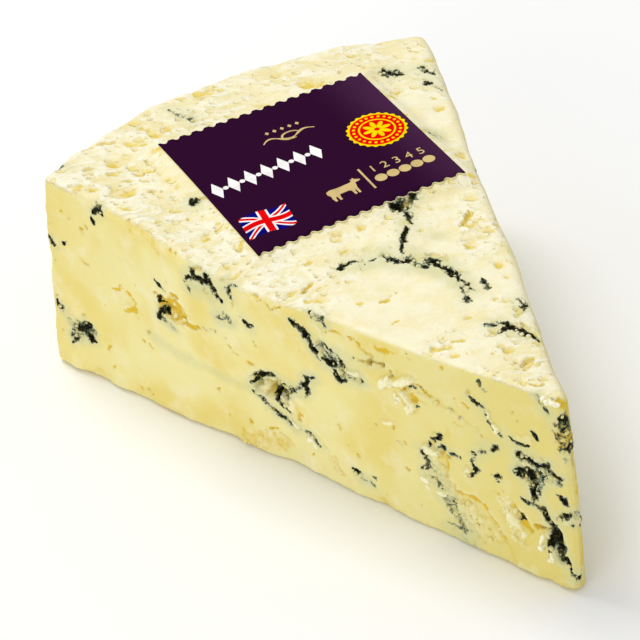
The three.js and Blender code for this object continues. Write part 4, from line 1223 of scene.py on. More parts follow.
@dataclass(frozen=True)
class Growth:
    """Mould, cracks, crumbs and hollows for a face that isn't seen, like those that are.

    Args:
        face: The face they grow on.
        low: Least of the face's two measures.
        high: Most of the face's two measures.
        clusters: How many clusters of mould.
        cracks: How many cracks with painted golden shade, each with a hollow beside it.
        seed: What the places are drawn from.
        broad: Broad marks that are broken up by clusters or by crumble.
    """

    face: Face
    low: Spot
    high: Spot
    clusters: int
    cracks: int
    seed: int
    broad: tuple[Mark, ...] = ()

    STEP = 1.5

    def _path(self, draw: np.random.Generator, start: Array, heading: float,
              steps: int) -> tuple[Spot, ...]:
        """A wandering path that stays on the face.

        Args:
            draw: The random source.
            start: Its first corner.
            heading: Its first bearing.
            steps: How many corners follow.

        Returns:
            Its corners, in the face's two measures.
        """
        path = [start]
        for _ in range(steps):
            heading += draw.normal(0, 0.6)
            step = self.STEP * draw.uniform(0.5, 1.3) * np.array([math.cos(heading), math.sin(heading)])
            path.append(np.clip(path[-1] + step, self.low, self.high))
        return tuple((float(first), float(second)) for first, second in path)

    def _cluster(self, draw: np.random.Generator, middle: Array) -> list[Mark]:
        """A ragged vein with side branches, a grey-green patch, a pale crumb and a crack with painted golden
        shade.

        Args:
            draw: The random source.
            middle: Where the vein starts.

        Returns:
            Its marks.
        """
        size = draw.uniform(0.55, 1.0)
        heading = draw.uniform(0, TAU)
        main = self._path(draw, middle, heading, int(draw.integers(2, 7)))
        found = [vein(1.3 * size, size, *main, stain=0.8, ochre_shade=0.3)]
        centre = np.array(main[len(main) // 2])
        across = self._path(draw, centre, heading + 1.2, 1)
        found.append(patch(3.4 * size, 0.3, *across, ochre_shade=0.1))
        for _ in range(int(draw.integers(1, 5))):
            fork = np.array(main[int(draw.integers(len(main)))]) + draw.normal(0, 0.8, 2)
            turn = heading + draw.choice((-1.0, 1.0)) * draw.uniform(0.6, 1.4)
            branch = self._path(draw, fork, turn, int(draw.integers(1, 4)))
            found.append(vein(0.8 * size, 0.6 * size, *branch, mould=draw.uniform(0.6, 1.0), stain=0.6))
        beside = self._path(draw, centre + draw.normal(0, 1.4, 2), heading, 1)
        found.append(lump(draw.uniform(0.9, 1.9), 0.5, *beside, pale=draw.uniform(0.3, 0.8)))
        golden = self._path(draw, centre + draw.normal(0, 2.2, 2), heading, 2)
        found.append(crack(0.6, 0.4, *golden, mould=0.1, stain=0.1, ochre_shade=1.4))
        return found

    def marks(self) -> list[Mark]:
        """Every cluster, and the cracks with a shallow hollow and a patch of crumble beside them.

        Returns:
            The marks, laid on the face.
        """
        draw = np.random.default_rng(self.seed)
        middles = [draw.uniform(self.low, self.high) for _ in range(self.clusters)]
        middles += [np.array(mark.path[1]) for mark in self.broad if mark.kind is Kind.GROOVE]
        found = [mark for middle in middles for mark in self._cluster(draw, middle)]
        craters = [mark for mark in self.broad if mark.kind is Kind.BOWL]
        found += [crumble(mark.width, 1.0, *mark.path, ochre_shade=0.5, pale=0.2) for mark in craters]
        for _ in range(self.cracks):
            start = draw.uniform(self.low, self.high)
            heading = draw.uniform(0, TAU)
            split = self._path(draw, start, heading, int(draw.integers(1, 4)))
            found.append(crack(0.7, 0.45, *split, ochre_shade=1.3))
            width = draw.uniform(1.2, 3.4)
            beside = self._path(draw, start, heading, 1)
            found.append(hollow(width, 0.2 * width, *beside, stain=0.2, ochre_shade=draw.uniform(0.0, 0.3)))
            apart = self._path(draw, start + draw.normal(0, 3.0, 2), heading, 1)
            found.append(crumble(draw.uniform(2.0, 4.4), 0.7, *apart, pale=0.3))
        return laid_on(self.face, found)


RIGHT_FEATURES: tuple[Mark, ...] = (
    vein(1.6, 1.1, (97.3, 24), (92.3, 23.4), (87.3, 20.5), mould=0.55),
    vein(1.5, 1, (81.3, 10.5), (71.8, 10.9), (62.3, 14.5), mould=0.35),
    vein(1.9, 1.3, (67.3, 26.5), (61.3, 26.1), (55.3, 23), mould=0.6),
    vein(1.6, 1.2, (49.3, 9), (44.3, 12.2), (39.3, 13.5), mould=0.5),
    vein(1.5, 1, (41.3, 25), (34.8, 22.2), (28.3, 21.5), mould=0.55),
    vein(2, 1.3, (26.3, 13), (20.8, 12), (15.3, 8.5), mould=0.5),
    hollow(4.6, 1.3, (94.8, 11.6), (91.8, 10.4), ochre_shade=0.1),
    hollow(4.4, 1.5, (74.8, 19.2), (71.8, 20.8), stain=0.7, ochre_shade=0.1),
    hollow(4.6, 1.2, (47.2, 19.8), (45.4, 19.4), ochre_shade=0.1),
    patch(5.6, 1.4, (14.4, 20.2), (12.2, 21), mould=0, ochre_shade=0.1),
)

DRAWN = {
    Face.LEFT: LEFT_FEATURES,
    Face.TOP: TOP_FEATURES,
    Face.RIGHT: RIGHT_FEATURES,
    Face.POINT: POINT_FEATURES,
}

UNSEEN = (
    Growth(Face.RIGHT, (3.0, 3.0), (108.0, 33.0), clusters=8, cracks=12, seed=21, broad=RIGHT_FEATURES),
    Growth(Face.RIND, (-33.0, 3.0), (33.0, 33.0), clusters=5, cracks=9, seed=8),
)


@dataclass(frozen=True)
class Relief:
    """A layer of noise that raises and lowers the surface.

    Args:
        size: How high it stands.
        length: Its wavelength.
        count: How many layers of halving wavelength it has.
        level: What is taken off the noise first.
        shift: How far the noise is moved, so that no two layers agree.
    """

    size: float
    length: float
    count: int = 1
    level: float = 0.0
    shift: float = 0.0

    def over(self, noise: Noise, places: Array) -> Array:
        """Its height at each place."""
        return self.size * (noise.layers(places + self.shift, self.length, self.count) - self.level)


@dataclass
class Cheese:
    """The wedge of cheese as one closed mesh with colour fields on its points.

    Args:
        wedge: The plain form.
        card: The card that it carries.
        base_step: Distance between the points it starts from.
        round_steps: Steps over each rounded edge.
        rind_edge: Longest triangle edge on the rind side.
        hidden_edge: The same under the card.
        base_edge: The same on the underside.
        finest_edge: Longest edge inside a feature that is seen.
        hidden_share: How much longer that edge is on the faces that aren't seen.
        edge_growth: How fast edges lengthen beyond a feature.
        card_spot: The part of the top face that the card hides, as x and y ranges.
        scoops: How many crescents are torn from the top face.
        seat_gap: Space between the card's back and the cheese below it.
        seat_reach: How far in from its outline the card settles the cheese.
        dip_rounds: Rounds of averaging that tell a dip from the surface round it.
        full_dip: Depth of a dip with its full painted shade.
        full_rim: Height of a rim with its full painted highlight.
        pits: How many small pits with painted ochre shade the sides have.
        calm_place: Middle of the smooth part of the top face.
        calm_radius: How far that part reaches.
        bend: How far coarse noise, fine noise and shards move a feature's outline.
        bend_lengths: Wavelength of each of the three.
        rough_depth: Depth of a cut whose walls are fully rough.
        shard_height: How far the facets of rough walls stand out.
        lump_length: Size of the lumps of crumbled places; the grains on them are finer.
        edge_margin: How far round a feature the mesh is refined.
        seed: What all is drawn from.
        marks: Every feature.
    """

    wedge: Wedge
    card: "Card"
    base_step: float = 2.6
    round_steps: int = 4
    rind_edge: float = 1.4
    hidden_edge: float = 2.0
    base_edge: float = 3.6
    finest_edge: float = 0.39
    hidden_share: float = 2.0
    edge_growth: float = 0.78
    card_spot: tuple[Spot, Spot] = ((-16.4, 16.8), (5.4, 37.8))
    scoops: int = 120
    seat_gap: float = 0.03
    seat_reach: float = 3.0
    dip_rounds: int = 14
    full_dip: float = 0.3
    full_rim: float = 0.13
    pits: int = 150
    calm_place: Spot = (-5.0, -17.0)
    calm_radius: float = 9.0
    bend: Triple = (0.42, 0.16, 0.24)
    bend_lengths: Triple = (2.1, 0.8, 1.4)
    rough_depth: float = 0.6
    shard_height: float = 0.13
    shard_length: float = 0.8
    lump_length: float = 2.6
    grain_length: float = 1.15
    edge_margin: float = 2.5
    seed: int = 5
    marks: list[Mark] = field(init=False)

    FACE_EDGES = ((Face.RIGHT, 0.75, 1.3), (Face.LEFT, 0.6, 0.84), (Face.TOP, 0.4, 0.78))
    SCOOP_BOX = ((-36, -54), (36, 53))
    SCOOP_MARGIN = 1.5
    SCOOP_SHARES = (0.6, 1.1)
    GRAIN = Relief(0.09, 3.4, 3)
    TOP_SWELL = Relief(0.3, 7.0, 2, 0.4, 211)
    RAGGED = Relief(0.75, 4.5, 3, 0.2, 97)
    RIND_SWELL = Relief(1.2, 9.5, 1, 0.5, -61)
    ROUGH = Relief(0.2, 1.0, 2)
    PIT_FACES = {
        Face.LEFT: (0.42, (4, 2), (108, 33)),
        Face.RIGHT: (0.36, (4, 2), (108, 33)),
        Face.RIND: (0.22, (-34, 3), (34, 33)),
    }

    def __post_init__(self) -> None:
        """Gathers the features of every face."""
        self.marks = [mark for face, marks in DRAWN.items() for mark in laid_on(face, marks)]
        self.marks += self._pits()
        for growth in UNSEEN:
            self.marks += growth.marks()

    def _pits(self) -> list[Mark]:
        """Small pits and dashes with painted ochre shade, scattered over the sides.

        Returns:
            A mark for each.
        """
        draw = np.random.default_rng(self.seed)
        faces = list(self.PIT_FACES)
        shares = [share for share, _, _ in self.PIT_FACES.values()]
        found: list[Mark] = []
        for _ in range(self.pits):
            face = faces[int(draw.choice(len(faces), p=shares))]
            _, low, high = self.PIT_FACES[face]
            start = draw.uniform(low, high)
            turn = draw.uniform(0, math.pi)
            end = start + draw.exponential(0.5) * np.array([math.cos(turn), math.sin(turn)]) + 0.05
            width = draw.uniform(0.35, 0.8)
            path = (tuple(map(float, start)), tuple(map(float, end)))
            found += laid_on(face, [hollow(width, 0.5 * width, *path, ochre_shade=draw.uniform(0.3, 0.8))])
        return found

    def under_card(self, points: Array) -> Array:
        """Which points lie well under the card.

        Args:
            points: Rows of x, y and z.

        Returns:
            True for each that does.
        """
        (left, right), (near, far) = self.card_spot
        x, y, z = points.T
        return (x > left) & (x < right) & (y > near) & (y < far) & (z > self.wedge.height - 1)

    def allowed(self, skin: Skin) -> Array:
        """The longest edge that each point of the skin may have.

        Args:
            skin: The cheese's skin.

        Returns:
            A length for each point.
        """
        facings = skin.facings / np.linalg.norm(skin.facings, axis=1, keepdims=True)
        sizes = np.full(len(facings), self.rind_edge)
        for face, least_turn, edge in self.FACE_EDGES:
            sizes[facings @ self.wedge.outward(face) > least_turn] = edge
        sizes[self.under_card(skin.points)] = self.hidden_edge
        for mark in self.marks:
            path = self.wedge.on(mark.face, mark.path)
            reach = mark.width / 2 + self.edge_margin
            low, high = path.min(axis=0) - reach, path.max(axis=0) + reach
            rows = np.flatnonzero(((skin.points > low) & (skin.points < high)).all(axis=1))
            if not len(rows):
                continue
            distance, _, _ = follow(skin.points[rows], path, self.wedge.outward(mark.face))
            hidden = self.hidden_share if mark.face in (Face.RIGHT, Face.RIND) else 1.0
            beyond = np.clip(distance - 0.6 * mark.width, 0, None)
            wanted = hidden * self.finest_edge + self.edge_growth * beyond
            sizes[rows] = np.minimum(sizes[rows], wanted)
        sizes[(skin.points[:, 2] < 0.01) & (skin.freedom < 0.6)] = self.base_edge
        return sizes

    def _scoops(self) -> Iterable[Scoop]:
        """Crescents over the top face, crosswise to the wedge's length.

        Returns:
            The scoops, one after another.
        """
        draw = np.random.default_rng(self.seed + 1)
        (left, right), (near, far) = self.card_spot
        gap = self.SCOOP_MARGIN
        made = 0
        while made < self.scoops:
            x, y = draw.uniform(*self.SCOOP_BOX)
            half = (y - self.wedge.point_y) * math.tan(self.wedge.half_angle)
            hidden = left - gap < x < right + gap and near - gap < y < far + gap
            calm = math.dist((x, y), self.calm_place) < self.calm_radius
            if abs(x) > half - 1.0 or hidden or calm:
                continue
            made += 1
            length = 0.7 + draw.exponential(0.9)
            breadth = length * draw.uniform(*self.SCOOP_SHARES)
            depth = min(0.6, 0.22 * length + 0.06)
            yield Scoop((x, y), length, breadth, depth, draw.normal(-0.7, 0.3))

    def surface(self, skin: Skin) -> Surface:
        """Lays every feature over a skin's points.

        Args:
            skin: The cheese's skin.

        Returns:
            Heights and colour strengths at its points.
        """
        coarse, fine = Noise(self.seed + 2), Noise(self.seed + 3)
        shift = np.array([53.0, 97.0, 31.0])
        places = skin.points
        warped = places.copy()
        for noise, size, length in zip((coarse, fine), self.bend, self.bend_lengths):
            warped += size * np.stack([noise.at(places + i * shift, length) for i in range(3)], axis=1)
        warped += self.bend[2] * coarse.shards(places, self.bend_lengths[2])
        swell = coarse.at(places - shift, 1.3)
        patches = coarse.at(places + shift, 2.6)
        surface = Surface(self.wedge, places, warped, swell, patches)
        for mark in self.marks:
            surface.lay(mark)
        for scoop in (*TOP_BITES, *self._scoops()):
            scoop.lay(surface)
        return surface

    def detail(self, skin: Skin, surface: Surface) -> Array:
        """Height of the finer relief over the waves, at each point.

        Args:
            skin: The cheese's skin.
            surface: The features laid on it.

        Returns:
            A height for each point.
        """
        coarse, fine = Noise(self.seed + 4), Noise(self.seed + 6)
        _, y, z = skin.points.T
        top = np.clip(skin.facings[:, 2], 0, 1)
        foot, rind = ease(z, 7, 1), ease(y, 38, 50)
        ragged = np.maximum(foot * 0.9, rind) * (1 - 0.5 * top)
        height = surface.rise - surface.cut + self.GRAIN.over(coarse, skin.points)
        height += top * self.TOP_SWELL.over(coarse, skin.points)
        height += ragged * self.RAGGED.over(coarse, skin.points)
        height += ease(y, 40, 50) * (1 - top) * self.RIND_SWELL.over(coarse, skin.points)
        lumpy = np.flatnonzero(surface.crumble > 0.01)
        height[lumpy] += surface.crumble[lumpy] * self._crags(coarse, fine, skin.points[lumpy])
        rough = np.clip(np.clip(surface.cut / self.rough_depth, 0, 1) + surface.mould, 0, 1)
        shards = self.shard_height * fine.shards(skin.points, self.shard_length)[:, 0]
        height += rough * (self.ROUGH.over(fine, skin.points) + shards)
        return height

    def _crags(self, coarse: Noise, fine: Noise, places: Array) -> Array:
        """Lumps with gaps between them and tilted grains on them.

        Args:
            coarse: Noise that the lumps come from.
            fine: Noise that the grains come from.
            places: Rows of x, y and z.

        Returns:
            A height for each place.
        """
        lump, next_lump, _ = coarse.cells(places, self.lump_length)
        grain, _, facet = fine.cells(places, self.grain_length)
        crag = 0.6 * np.clip(next_lump - lump, 0, 0.5) + 0.3 * (0.55 - grain)
        return 1.2 * (crag + 0.16 * fine.directions[facet, 0]) - 0.25

    def torn(self, skin: Skin) -> Array:
        """How flaky the top face is: most of all along its left edge and at the rind.

        Args:
            skin: The cheese's skin.

        Returns:
            A share for each point.
        """
        from_point = skin.points - self.wedge.point
        along = from_point @ self.wedge.along(Face.LEFT)
        inside = -(from_point @ self.wedge.outward(Face.LEFT))
        beside_edge = ease(inside, 13, 4) * ease(along, 26, 48)
        ends = np.maximum(ease(skin.points[:, 1], 36, 46), ease(along, 24, 12))
        calm = bell(np.linalg.norm(skin.points[:, :2] - self.calm_place, axis=1), 11)
        patch = Noise(self.seed + 9).at(skin.points, 9.0)
        amount = 0.4 + 0.5 * patch + 0.6 * np.maximum(beside_edge, 0.7 * ends) - 0.9 * calm
        return np.clip(amount, 0.06, 1) * ease(skin.facings[:, 2], 0.25, 0.85)

    def build(self) -> Thing:
        """Makes the mesh, with its fields as point attributes.

        Returns:
            The cheese.
        """
        skin = Skin.around(self.wedge, self.base_step, self.round_steps)
        skin.refine(self.allowed)
        surface = self.surface(skin)
        offset = skin.freedom * self.wedge.relief(skin.points)
        free = np.where(skin.freedom > 0.3, 1.0, 0.0)
        offset += free * self.detail(skin, surface)
        points = self.wedge.settle(skin.points + offset[:, None] * skin.facings)
        under, inside = self.card.underside(points)
        share = ease(inside, -self.seat_reach, -0.1) * ease(skin.facings[:, 2], 0.5, 0.9)
        points[:, 2] += share * (under - self.seat_gap - points[:, 2])
        low, high = (np.array(corner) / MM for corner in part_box("cheese"))
        high[2] = CAD_BOX[1][2] / MM
        points = np.clip(points, low, high)
        top = ease(skin.facings[:, 2], 0.25, 0.85)
        # Dips and rims against the surface round them; the paste paints shade in the dips and highlight on
        # the rims.
        dip = skin.smoothed(offset, self.dip_rounds) - offset
        fields = {
            "top": top,
            "cavity": np.clip(dip / self.full_dip, 0, 1),
            "rim": np.clip(-dip / self.full_rim, 0, 1),
            "mould": surface.mould,
            "stain": surface.stain,
            "ochre_shade": np.clip(surface.ochre_shade, 0, 1),
            "pale": surface.pale,
            "crumble": surface.crumble,
            "torn": self.torn(skin),
        }
        log.info("cheese: %d triangles", len(skin.triangles))
        return mesh_object("cheese_wedge", points * MM, skin.triangles, fields)


def linked(name: str, data: bpy.types.ID) -> Thing:
    """A new object in the scene.

    Args:
        name: Its name.
        data: What it shows.

    Returns:
        The object.
    """
    made = bpy.data.objects.new(name, data)
    bpy.context.scene.collection.objects.link(made)
    return made


def plain_mesh(holder: Thing) -> Mesh:
    """What an object evaluates to, as a mesh of its own; the object is removed.

    Args:
        holder: The object.

    Returns:
        The mesh.
    """
    bpy.context.view_layer.update()
    graph = bpy.context.evaluated_depsgraph_get()
    mesh = bpy.data.meshes.new_from_object(holder.evaluated_get(graph))
    bpy.data.objects.remove(holder)
    return mesh


def mesh_object(name: str, points: Array, faces: Array, fields: dict[str, Array] | None = None) -> Thing:
    """A smooth-shaded object from points in metres and faces of equal size.

    Args:
        name: The object's name.
        points: Rows of x, y and z in metres.
        faces: Rows of point numbers.
        fields: Values for each point, kept as attributes.

    Returns:
        The object, linked to the scene.
    """
    mesh = bpy.data.meshes.new(name)
    mesh.from_pydata(points.tolist(), [], faces.tolist())
    for label, values in (fields or {}).items():
        attribute = mesh.attributes.new(label, "FLOAT", "POINT")
        attribute.data.foreach_set("value", values.astype(np.float32))
    mesh.shade_smooth()
    return linked(name, mesh)


def paint(red: float, green: float, blue: float) -> Colour:
    """A colour given as screen values from 0 to 255, in scene-linear light.

    Args:
        red: Red share.
        green: Green share.
        blue: Blue share.

    Returns:
        The colour, with full cover.
    """
    shares = (value / 255 for value in (red, green, blue))
    linear = (s / 12.92 if s <= 0.04045 else ((s + 0.055) / 1.055) ** 2.4 for s in shares)
    return (*linear, 1.0)


class Field:
    """A socket that takes part in arithmetic; each operation adds a Math node."""

    def __init__(self, graph: "Nodes", socket: bpy.types.NodeSocket) -> None:
        """Wraps a socket of a tree."""
        self.graph = graph
        self.socket = socket

    def _math(self, operation: str, *values: "Field | float") -> "Field":
        """A Math node on the values."""
        return self.graph.node("ShaderNodeMath", {"operation": operation}, dict(enumerate(values)))

    def __add__(self, other: "Field | float") -> "Field":
        """Sum."""
        return self._math("ADD", self, other)

    def __radd__(self, other: float) -> "Field":
        """Sum, with the number first."""
        return self._math("ADD", other, self)

    def __sub__(self, other: "Field | float") -> "Field":
        """Difference."""
        return self._math("SUBTRACT", self, other)

    def __rsub__(self, other: float) -> "Field":
        """Difference, with the number first."""
        return self._math("SUBTRACT", other, self)

    def __mul__(self, other: "Field | float") -> "Field":
        """Product."""
        return self._math("MULTIPLY", self, other)

    def __rmul__(self, other: float) -> "Field":
        """Product, with the number first."""
        return self._math("MULTIPLY", other, self)

    def __truediv__(self, other: "Field | float") -> "Field":
        """Quotient."""
        return self._math("DIVIDE", self, other)

    def sibling(self, output: str) -> "Field":
        """Another output of the same node."""
        return Field(self.graph, self.socket.node.outputs[output])

    def max(self, other: "Field | float") -> "Field":
        """The larger of two values."""
        return self._math("MAXIMUM", self, other)

    def ramp(self, low: float, high: float) -> "Field":
        """0 at low, 1 at high and smooth between them, whichever is larger.

        Args:
            low: Where it is 0.
            high: Where it is 1.

        Returns:
            The ramped value.
        """
        if low > high:
            return 1 - self.ramp(high, low)
        values = {"Value": self, "From Min": low, "From Max": high}
        return self.graph.node("ShaderNodeMapRange", {"interpolation_type": "SMOOTHSTEP"}, values)


class Nodes:
    """A node tree, with one method that makes any node."""

    def __init__(self, tree: bpy.types.NodeTree) -> None:
        """Wraps a tree."""
        self.tree = tree

    @staticmethod
    def _socket(sockets: bpy.types.bpy_prop_collection, key: "str | int") -> bpy.types.NodeSocket:
        """A socket by number, identifier or name.

        Args:
            sockets: A node's inputs or outputs.
            key: Which one.

        Returns:
            The socket.
        """
        if isinstance(key, int):
            return sockets[key]
        return next((s for s in sockets if s.identifier == key), None) or sockets[key]

    def node(self, kind: str, settings: dict[str, object] | None = None,
             values: "dict[str | int, object] | None" = None, output: "str | int" = 0) -> Field | None:
        """Adds a node.

        Args:
            kind: The node's type.
            settings: Its properties, or "stops" for a ramp's places and colours.
            values: What its sockets hold or are linked to.
            output: The output that is returned.

        Returns:
            The chosen output, or nothing where the node has none.
        """
        made = self.tree.nodes.new(kind)
        for label, setting in (settings or {}).items():
            setattr(made, label, setting)
        for key, value in (values or {}).items():
            socket = self._socket(made.inputs, key)
            if isinstance(value, Field):
                self.tree.links.new(value.socket, socket)
            else:
                socket.default_value = value
        return Field(self, self._socket(made.outputs, output)) if made.outputs else None


class Graph(Nodes):
    """A material's node tree."""

    def __init__(self, name: str) -> None:
        """Starts an empty material.

        Args:
            name: Its name.
        """
        self.material = bpy.data.materials.new(name)
        self.material.use_nodes = True
        super().__init__(self.material.node_tree)
        self.tree.nodes.clear()
        self.place = self.node("ShaderNodeTexCoord", output="Object")

    def vector(self, operation: str, first: object, second: object = (0.0, 0.0, 0.0), scale: float = 1.0,
               output: str = "Vector") -> Field:
        """A Vector Math node."""
        values = {0: first, 1: second, "Scale": scale}
        return self.node("ShaderNodeVectorMath", {"operation": operation}, values, output)

    def attribute(self, name: str) -> Field:
        """A value kept on the mesh's points."""
        return self.node("ShaderNodeAttribute", {"attribute_name": name}, output="Fac")

    def stretched(self, size: Triple, turn: float = 0.0) -> Field:
        """Object coordinates, turned about Z and scaled."""
        values = {"Scale": size, "Rotation": (0.0, 0.0, turn), "Vector": self.place}
        return self.node("ShaderNodeMapping", {"vector_type": "TEXTURE"}, values, output="Vector")

    def noise(self, length: float, detail: float = 2.0, roughness: float = 0.5, bend: float = 0.0,
              where: Field | None = None) -> Field:
        """Noise of about 0 to 1.

        Args:
            length: Its wavelength in millimetres.
            detail: Layers of finer noise.
            roughness: Strength of each finer layer.
            bend: How much it distorts itself.
            where: Coordinates to read instead of the plain ones.

        Returns:
            The noise.
        """
        values = {"Vector": where or self.place, "Scale": 1 / (length * MM), "Detail": detail,
                  "Roughness": roughness, "Distortion": bend}
        return self.node("ShaderNodeTexNoise", {}, values, output="Fac")

    def mix(self, factor: "Field | float", first: object, second: object, blend: str = "MIX") -> Field:
        """A mix of two colours.

        Args:
            factor: Share of the second colour.
            first: The first colour.
            second: The second colour.
            blend: How they are mixed.

        Returns:
            The mixed colour.
        """
        settings = {"data_type": "RGBA", "blend_type": blend, "clamp_factor": True}
        values = {"Factor_Float": factor, "A_Color": first, "B_Color": second}
        return self.node("ShaderNodeMix", settings, values, output="Result_Color")

    def finish(self, values: dict[str, object], bump: Field | None = None, height: float = 0.0) -> Material:
        """Closes the material with one principled shader.

        Args:
            values: The shader's sockets.
            bump: A height field of about 0 to 1.
            height: What 1 in that field stands for, in millimetres.

        Returns:
            The material.
        """
        if bump is not None:
            bumped = {"Height": bump, "Distance": height * MM, "Strength": 1.0}
            values = {**values, "Normal": self.node("ShaderNodeBump", {}, bumped, output="Normal")}
        shader = self.node("ShaderNodeBsdfPrincipled", {}, values)
        self.node("ShaderNodeOutputMaterial", {}, {"Surface": shader})
        return self.material


class Grower(Nodes):
    """A Geometry Nodes tree with named inputs."""

    def __init__(self, name: str, kinds: dict[str, str]) -> None:
        """Starts a tree.

        Args:
            name: The tree's name, and its result's.
            kinds: Each input's name and kind.
        """
        super().__init__(bpy.data.node_groups.new(name, "GeometryNodeTree"))
        for label, kind in kinds.items():
            self.tree.interface.new_socket(label, in_out="INPUT", socket_type="NodeSocket" + kind)
        self.tree.interface.new_socket("Geometry", in_out="OUTPUT", socket_type="NodeSocketGeometry")
        self.given = self.node("NodeGroupInput").sibling

    def grow(self, made: Field, finish: Material, values: dict[str, float],
             base: Mesh | None = None) -> Mesh:
        """Closes the tree, runs it and keeps its result as a plain mesh.

        Args:
            made: The geometry, which still has instances.
            finish: The material that it gets.
            values: Values for the named inputs.
            base: The mesh it starts from, if it needs one.

        Returns:
            The mesh.
        """
        real = self.node("GeometryNodeRealizeInstances", {}, {"Geometry": made})
        coloured = self.node("GeometryNodeSetMaterial", {}, {"Geometry": real, "Material": finish})
        self.node("NodeGroupOutput", {}, {"Geometry": coloured})
        name = self.tree.name
        holder = linked(name, base or bpy.data.meshes.new(name + "_start"))
        modifier = holder.modifiers.new("grow", "NODES")
        modifier.node_group = self.tree
        for item in self.tree.interface.items_tree:
            if item.item_type == "SOCKET" and item.name in values:
                modifier[item.identifier] = values[item.name]
        mesh = plain_mesh(holder)
        mesh.name = name
        return mesh


@dataclass(frozen=True)
class Paste:
    """The cheese's creamy paste with its mould, stains and dry crumb, and painted light: a paler top, ochre
    shade in hollows and cracks, and highlights on rims and lips.

    The ranges say where along Y, in metres, a shade sets in and where it is full.
    """

    # The top face is painted paler cream than the sides' butter, for the light that falls on it; both also
    # vary at random.
    cream: Colour = paint(246, 239, 206)
    # This warmer cream varies at random, and is also painted shade in the troughs of the fine streaks on
    # top.
    warm_cream: Colour = paint(241, 229, 178)
    butter: Colour = paint(240, 230, 164)
    # This deeper butter comes in at random and towards the ends, and is also painted shade in the dips of
    # the torn top.
    deep_butter: Colour = paint(235, 217, 130)
    dull_butter: Colour = paint(220, 206, 118)
    # The two ochres and the brown are painted shade in hollows, cracks and dips.
    ochre: Colour = paint(224, 188, 46)
    pale_ochre: Colour = paint(232, 206, 84)
    brown: Colour = paint(120, 92, 8)
    haze: Colour = paint(210, 209, 158)
    pale_flake: Colour = paint(216, 216, 186)
    flake: Colour = paint(138, 146, 120)
    rust: Colour = paint(186, 158, 62)
    slate: Colour = paint(102, 113, 88)
    olive: Colour = paint(82, 78, 24)
    black: Colour = paint(8, 9, 0)
    # This near white is the colour of dry crumbs, and also painted highlight on rims, lips and the brightest
    # crumb specks.
    dry_crumb_and_highlight: Colour = paint(253, 250, 232)
    crumb: Colour = paint(243, 236, 186)
    roughness: float = 0.5
    subsurface: float = 0.1
    scatter: float = 0.6
    # This colour is painted shade in the scoops of the top face.
    chip_shade: Colour = paint(240, 218, 122)
    streak_turn: float = math.radians(-24)
    chip_turn: float = math.radians(-42)
    chip_wander: float = 1.3
    rind_butter: Spot = (0.024, 0.05)
    point_butter: Spot = (-0.026, -0.056)
    point_dull: Spot = (-0.002, -0.048)
    rind_dull: Spot = (0.04, 0.056)

    def _flesh(self, g: Graph, blotch: Field, grain: Field) -> Field:
        """The unmoulded colour: paler on top as painted light, deeper on the sides and at the ends, with
        painted ochre and brown shade in every dip.

        Args:
            g: The material's tree.
            blotch: Broad noise.
            grain: Fine noise.

        Returns:
            The colour.
        """
        top, cavity = g.attribute("top"), g.attribute("cavity")
        y = g.node("ShaderNodeSeparateXYZ", {}, {"Vector": g.place}, output="Y")
        ends = y.ramp(*self.rind_butter).max(y.ramp(*self.point_butter))
        deep = g.noise(13, 2).ramp(0.4, 0.66).max(ends * 0.9)
        butter = g.mix(deep, self.butter, self.deep_butter)
        butter = g.mix(blotch.ramp(0.5, 0.72) * 0.4, butter, self.cream)
        dull = y.ramp(*self.point_dull).max(y.ramp(*self.rind_dull)) * 0.55
        butter = g.mix(dull, butter, self.dull_butter)
        warmth = (blotch.ramp(0.42, 0.66) * 0.7).max(ends * 0.6)
        # Painted light: the top face takes the paler cream.
        colour = g.mix(top, butter, g.mix(warmth, self.cream, self.warm_cream))
        fleck = g.noise(1.9, 1).ramp(0.7, 0.78)
        # Painted shade: ochre in hollows, cracks and dips, paler ochre on top and brown where deepest, with
        # small random ochre flecks.
        depth = g.attribute("ochre_shade") * (0.55 + grain * 0.9) + cavity * 0.55 + fleck * 0.4
        ochre = g.mix(top, self.ochre, self.pale_ochre)
        colour = g.mix(depth.ramp(0.1, 1.0) * 0.95, colour, ochre)
        return g.mix((depth + grain * 0.5).ramp(1.7, 2.3) * (1 - top * 0.8), colour, self.brown)

    def _chips(self, g: Graph, size: float) -> Field:
        """Scattered chips, each deepest at its curved near edge: 0 outside them and up to 1 inside.

        Args:
            g: The material's tree.
            size: About how long they are, in millimetres.

        Returns:
            How deep each place lies.
        """
        texture = {"Vector": g.place, "Scale": 1 / (self.chip_wander * MM), "Detail": 3.0}
        wander = g.vector("SUBTRACT", g.node("ShaderNodeTexNoise", {}, texture, output="Color"), (0.5,) * 3)
        place = g.vector("SCALE", g.place, scale=1 / (size * MM))
        place = g.vector("ADD", place, g.vector("SCALE", wander, scale=0.5))
        tiles = {"Vector": place, "Scale": 1.0}
        nearest = g.node("ShaderNodeTexVoronoi", {"voronoi_dimensions": "2D"}, tiles, output="Position")
        amount = g.node("ShaderNodeSeparateXYZ", {}, {"Vector": nearest.sibling("Color")})
        offset = g.vector("SUBTRACT", place, nearest)
        forth, aside = math.cos(self.chip_turn), math.sin(self.chip_turn)
        reach = ((amount - 0.5) * 0.85).max(0.01)
        along = g.vector("DOT_PRODUCT", offset, (forth, aside, 0.0), output="Value") / reach
        away = g.vector("DOT_PRODUCT", offset, (-aside, forth, 0.0), output="Value") / (reach * 0.8)
        bent = away - along * along * 0.7 + 0.3
        inside = (1 - along * along).max(0.0) * ((1 - bent) * 0.55).max(0.0)
        return inside * bent.ramp(-1.0, -0.8) * amount.ramp(0.52, 0.6)

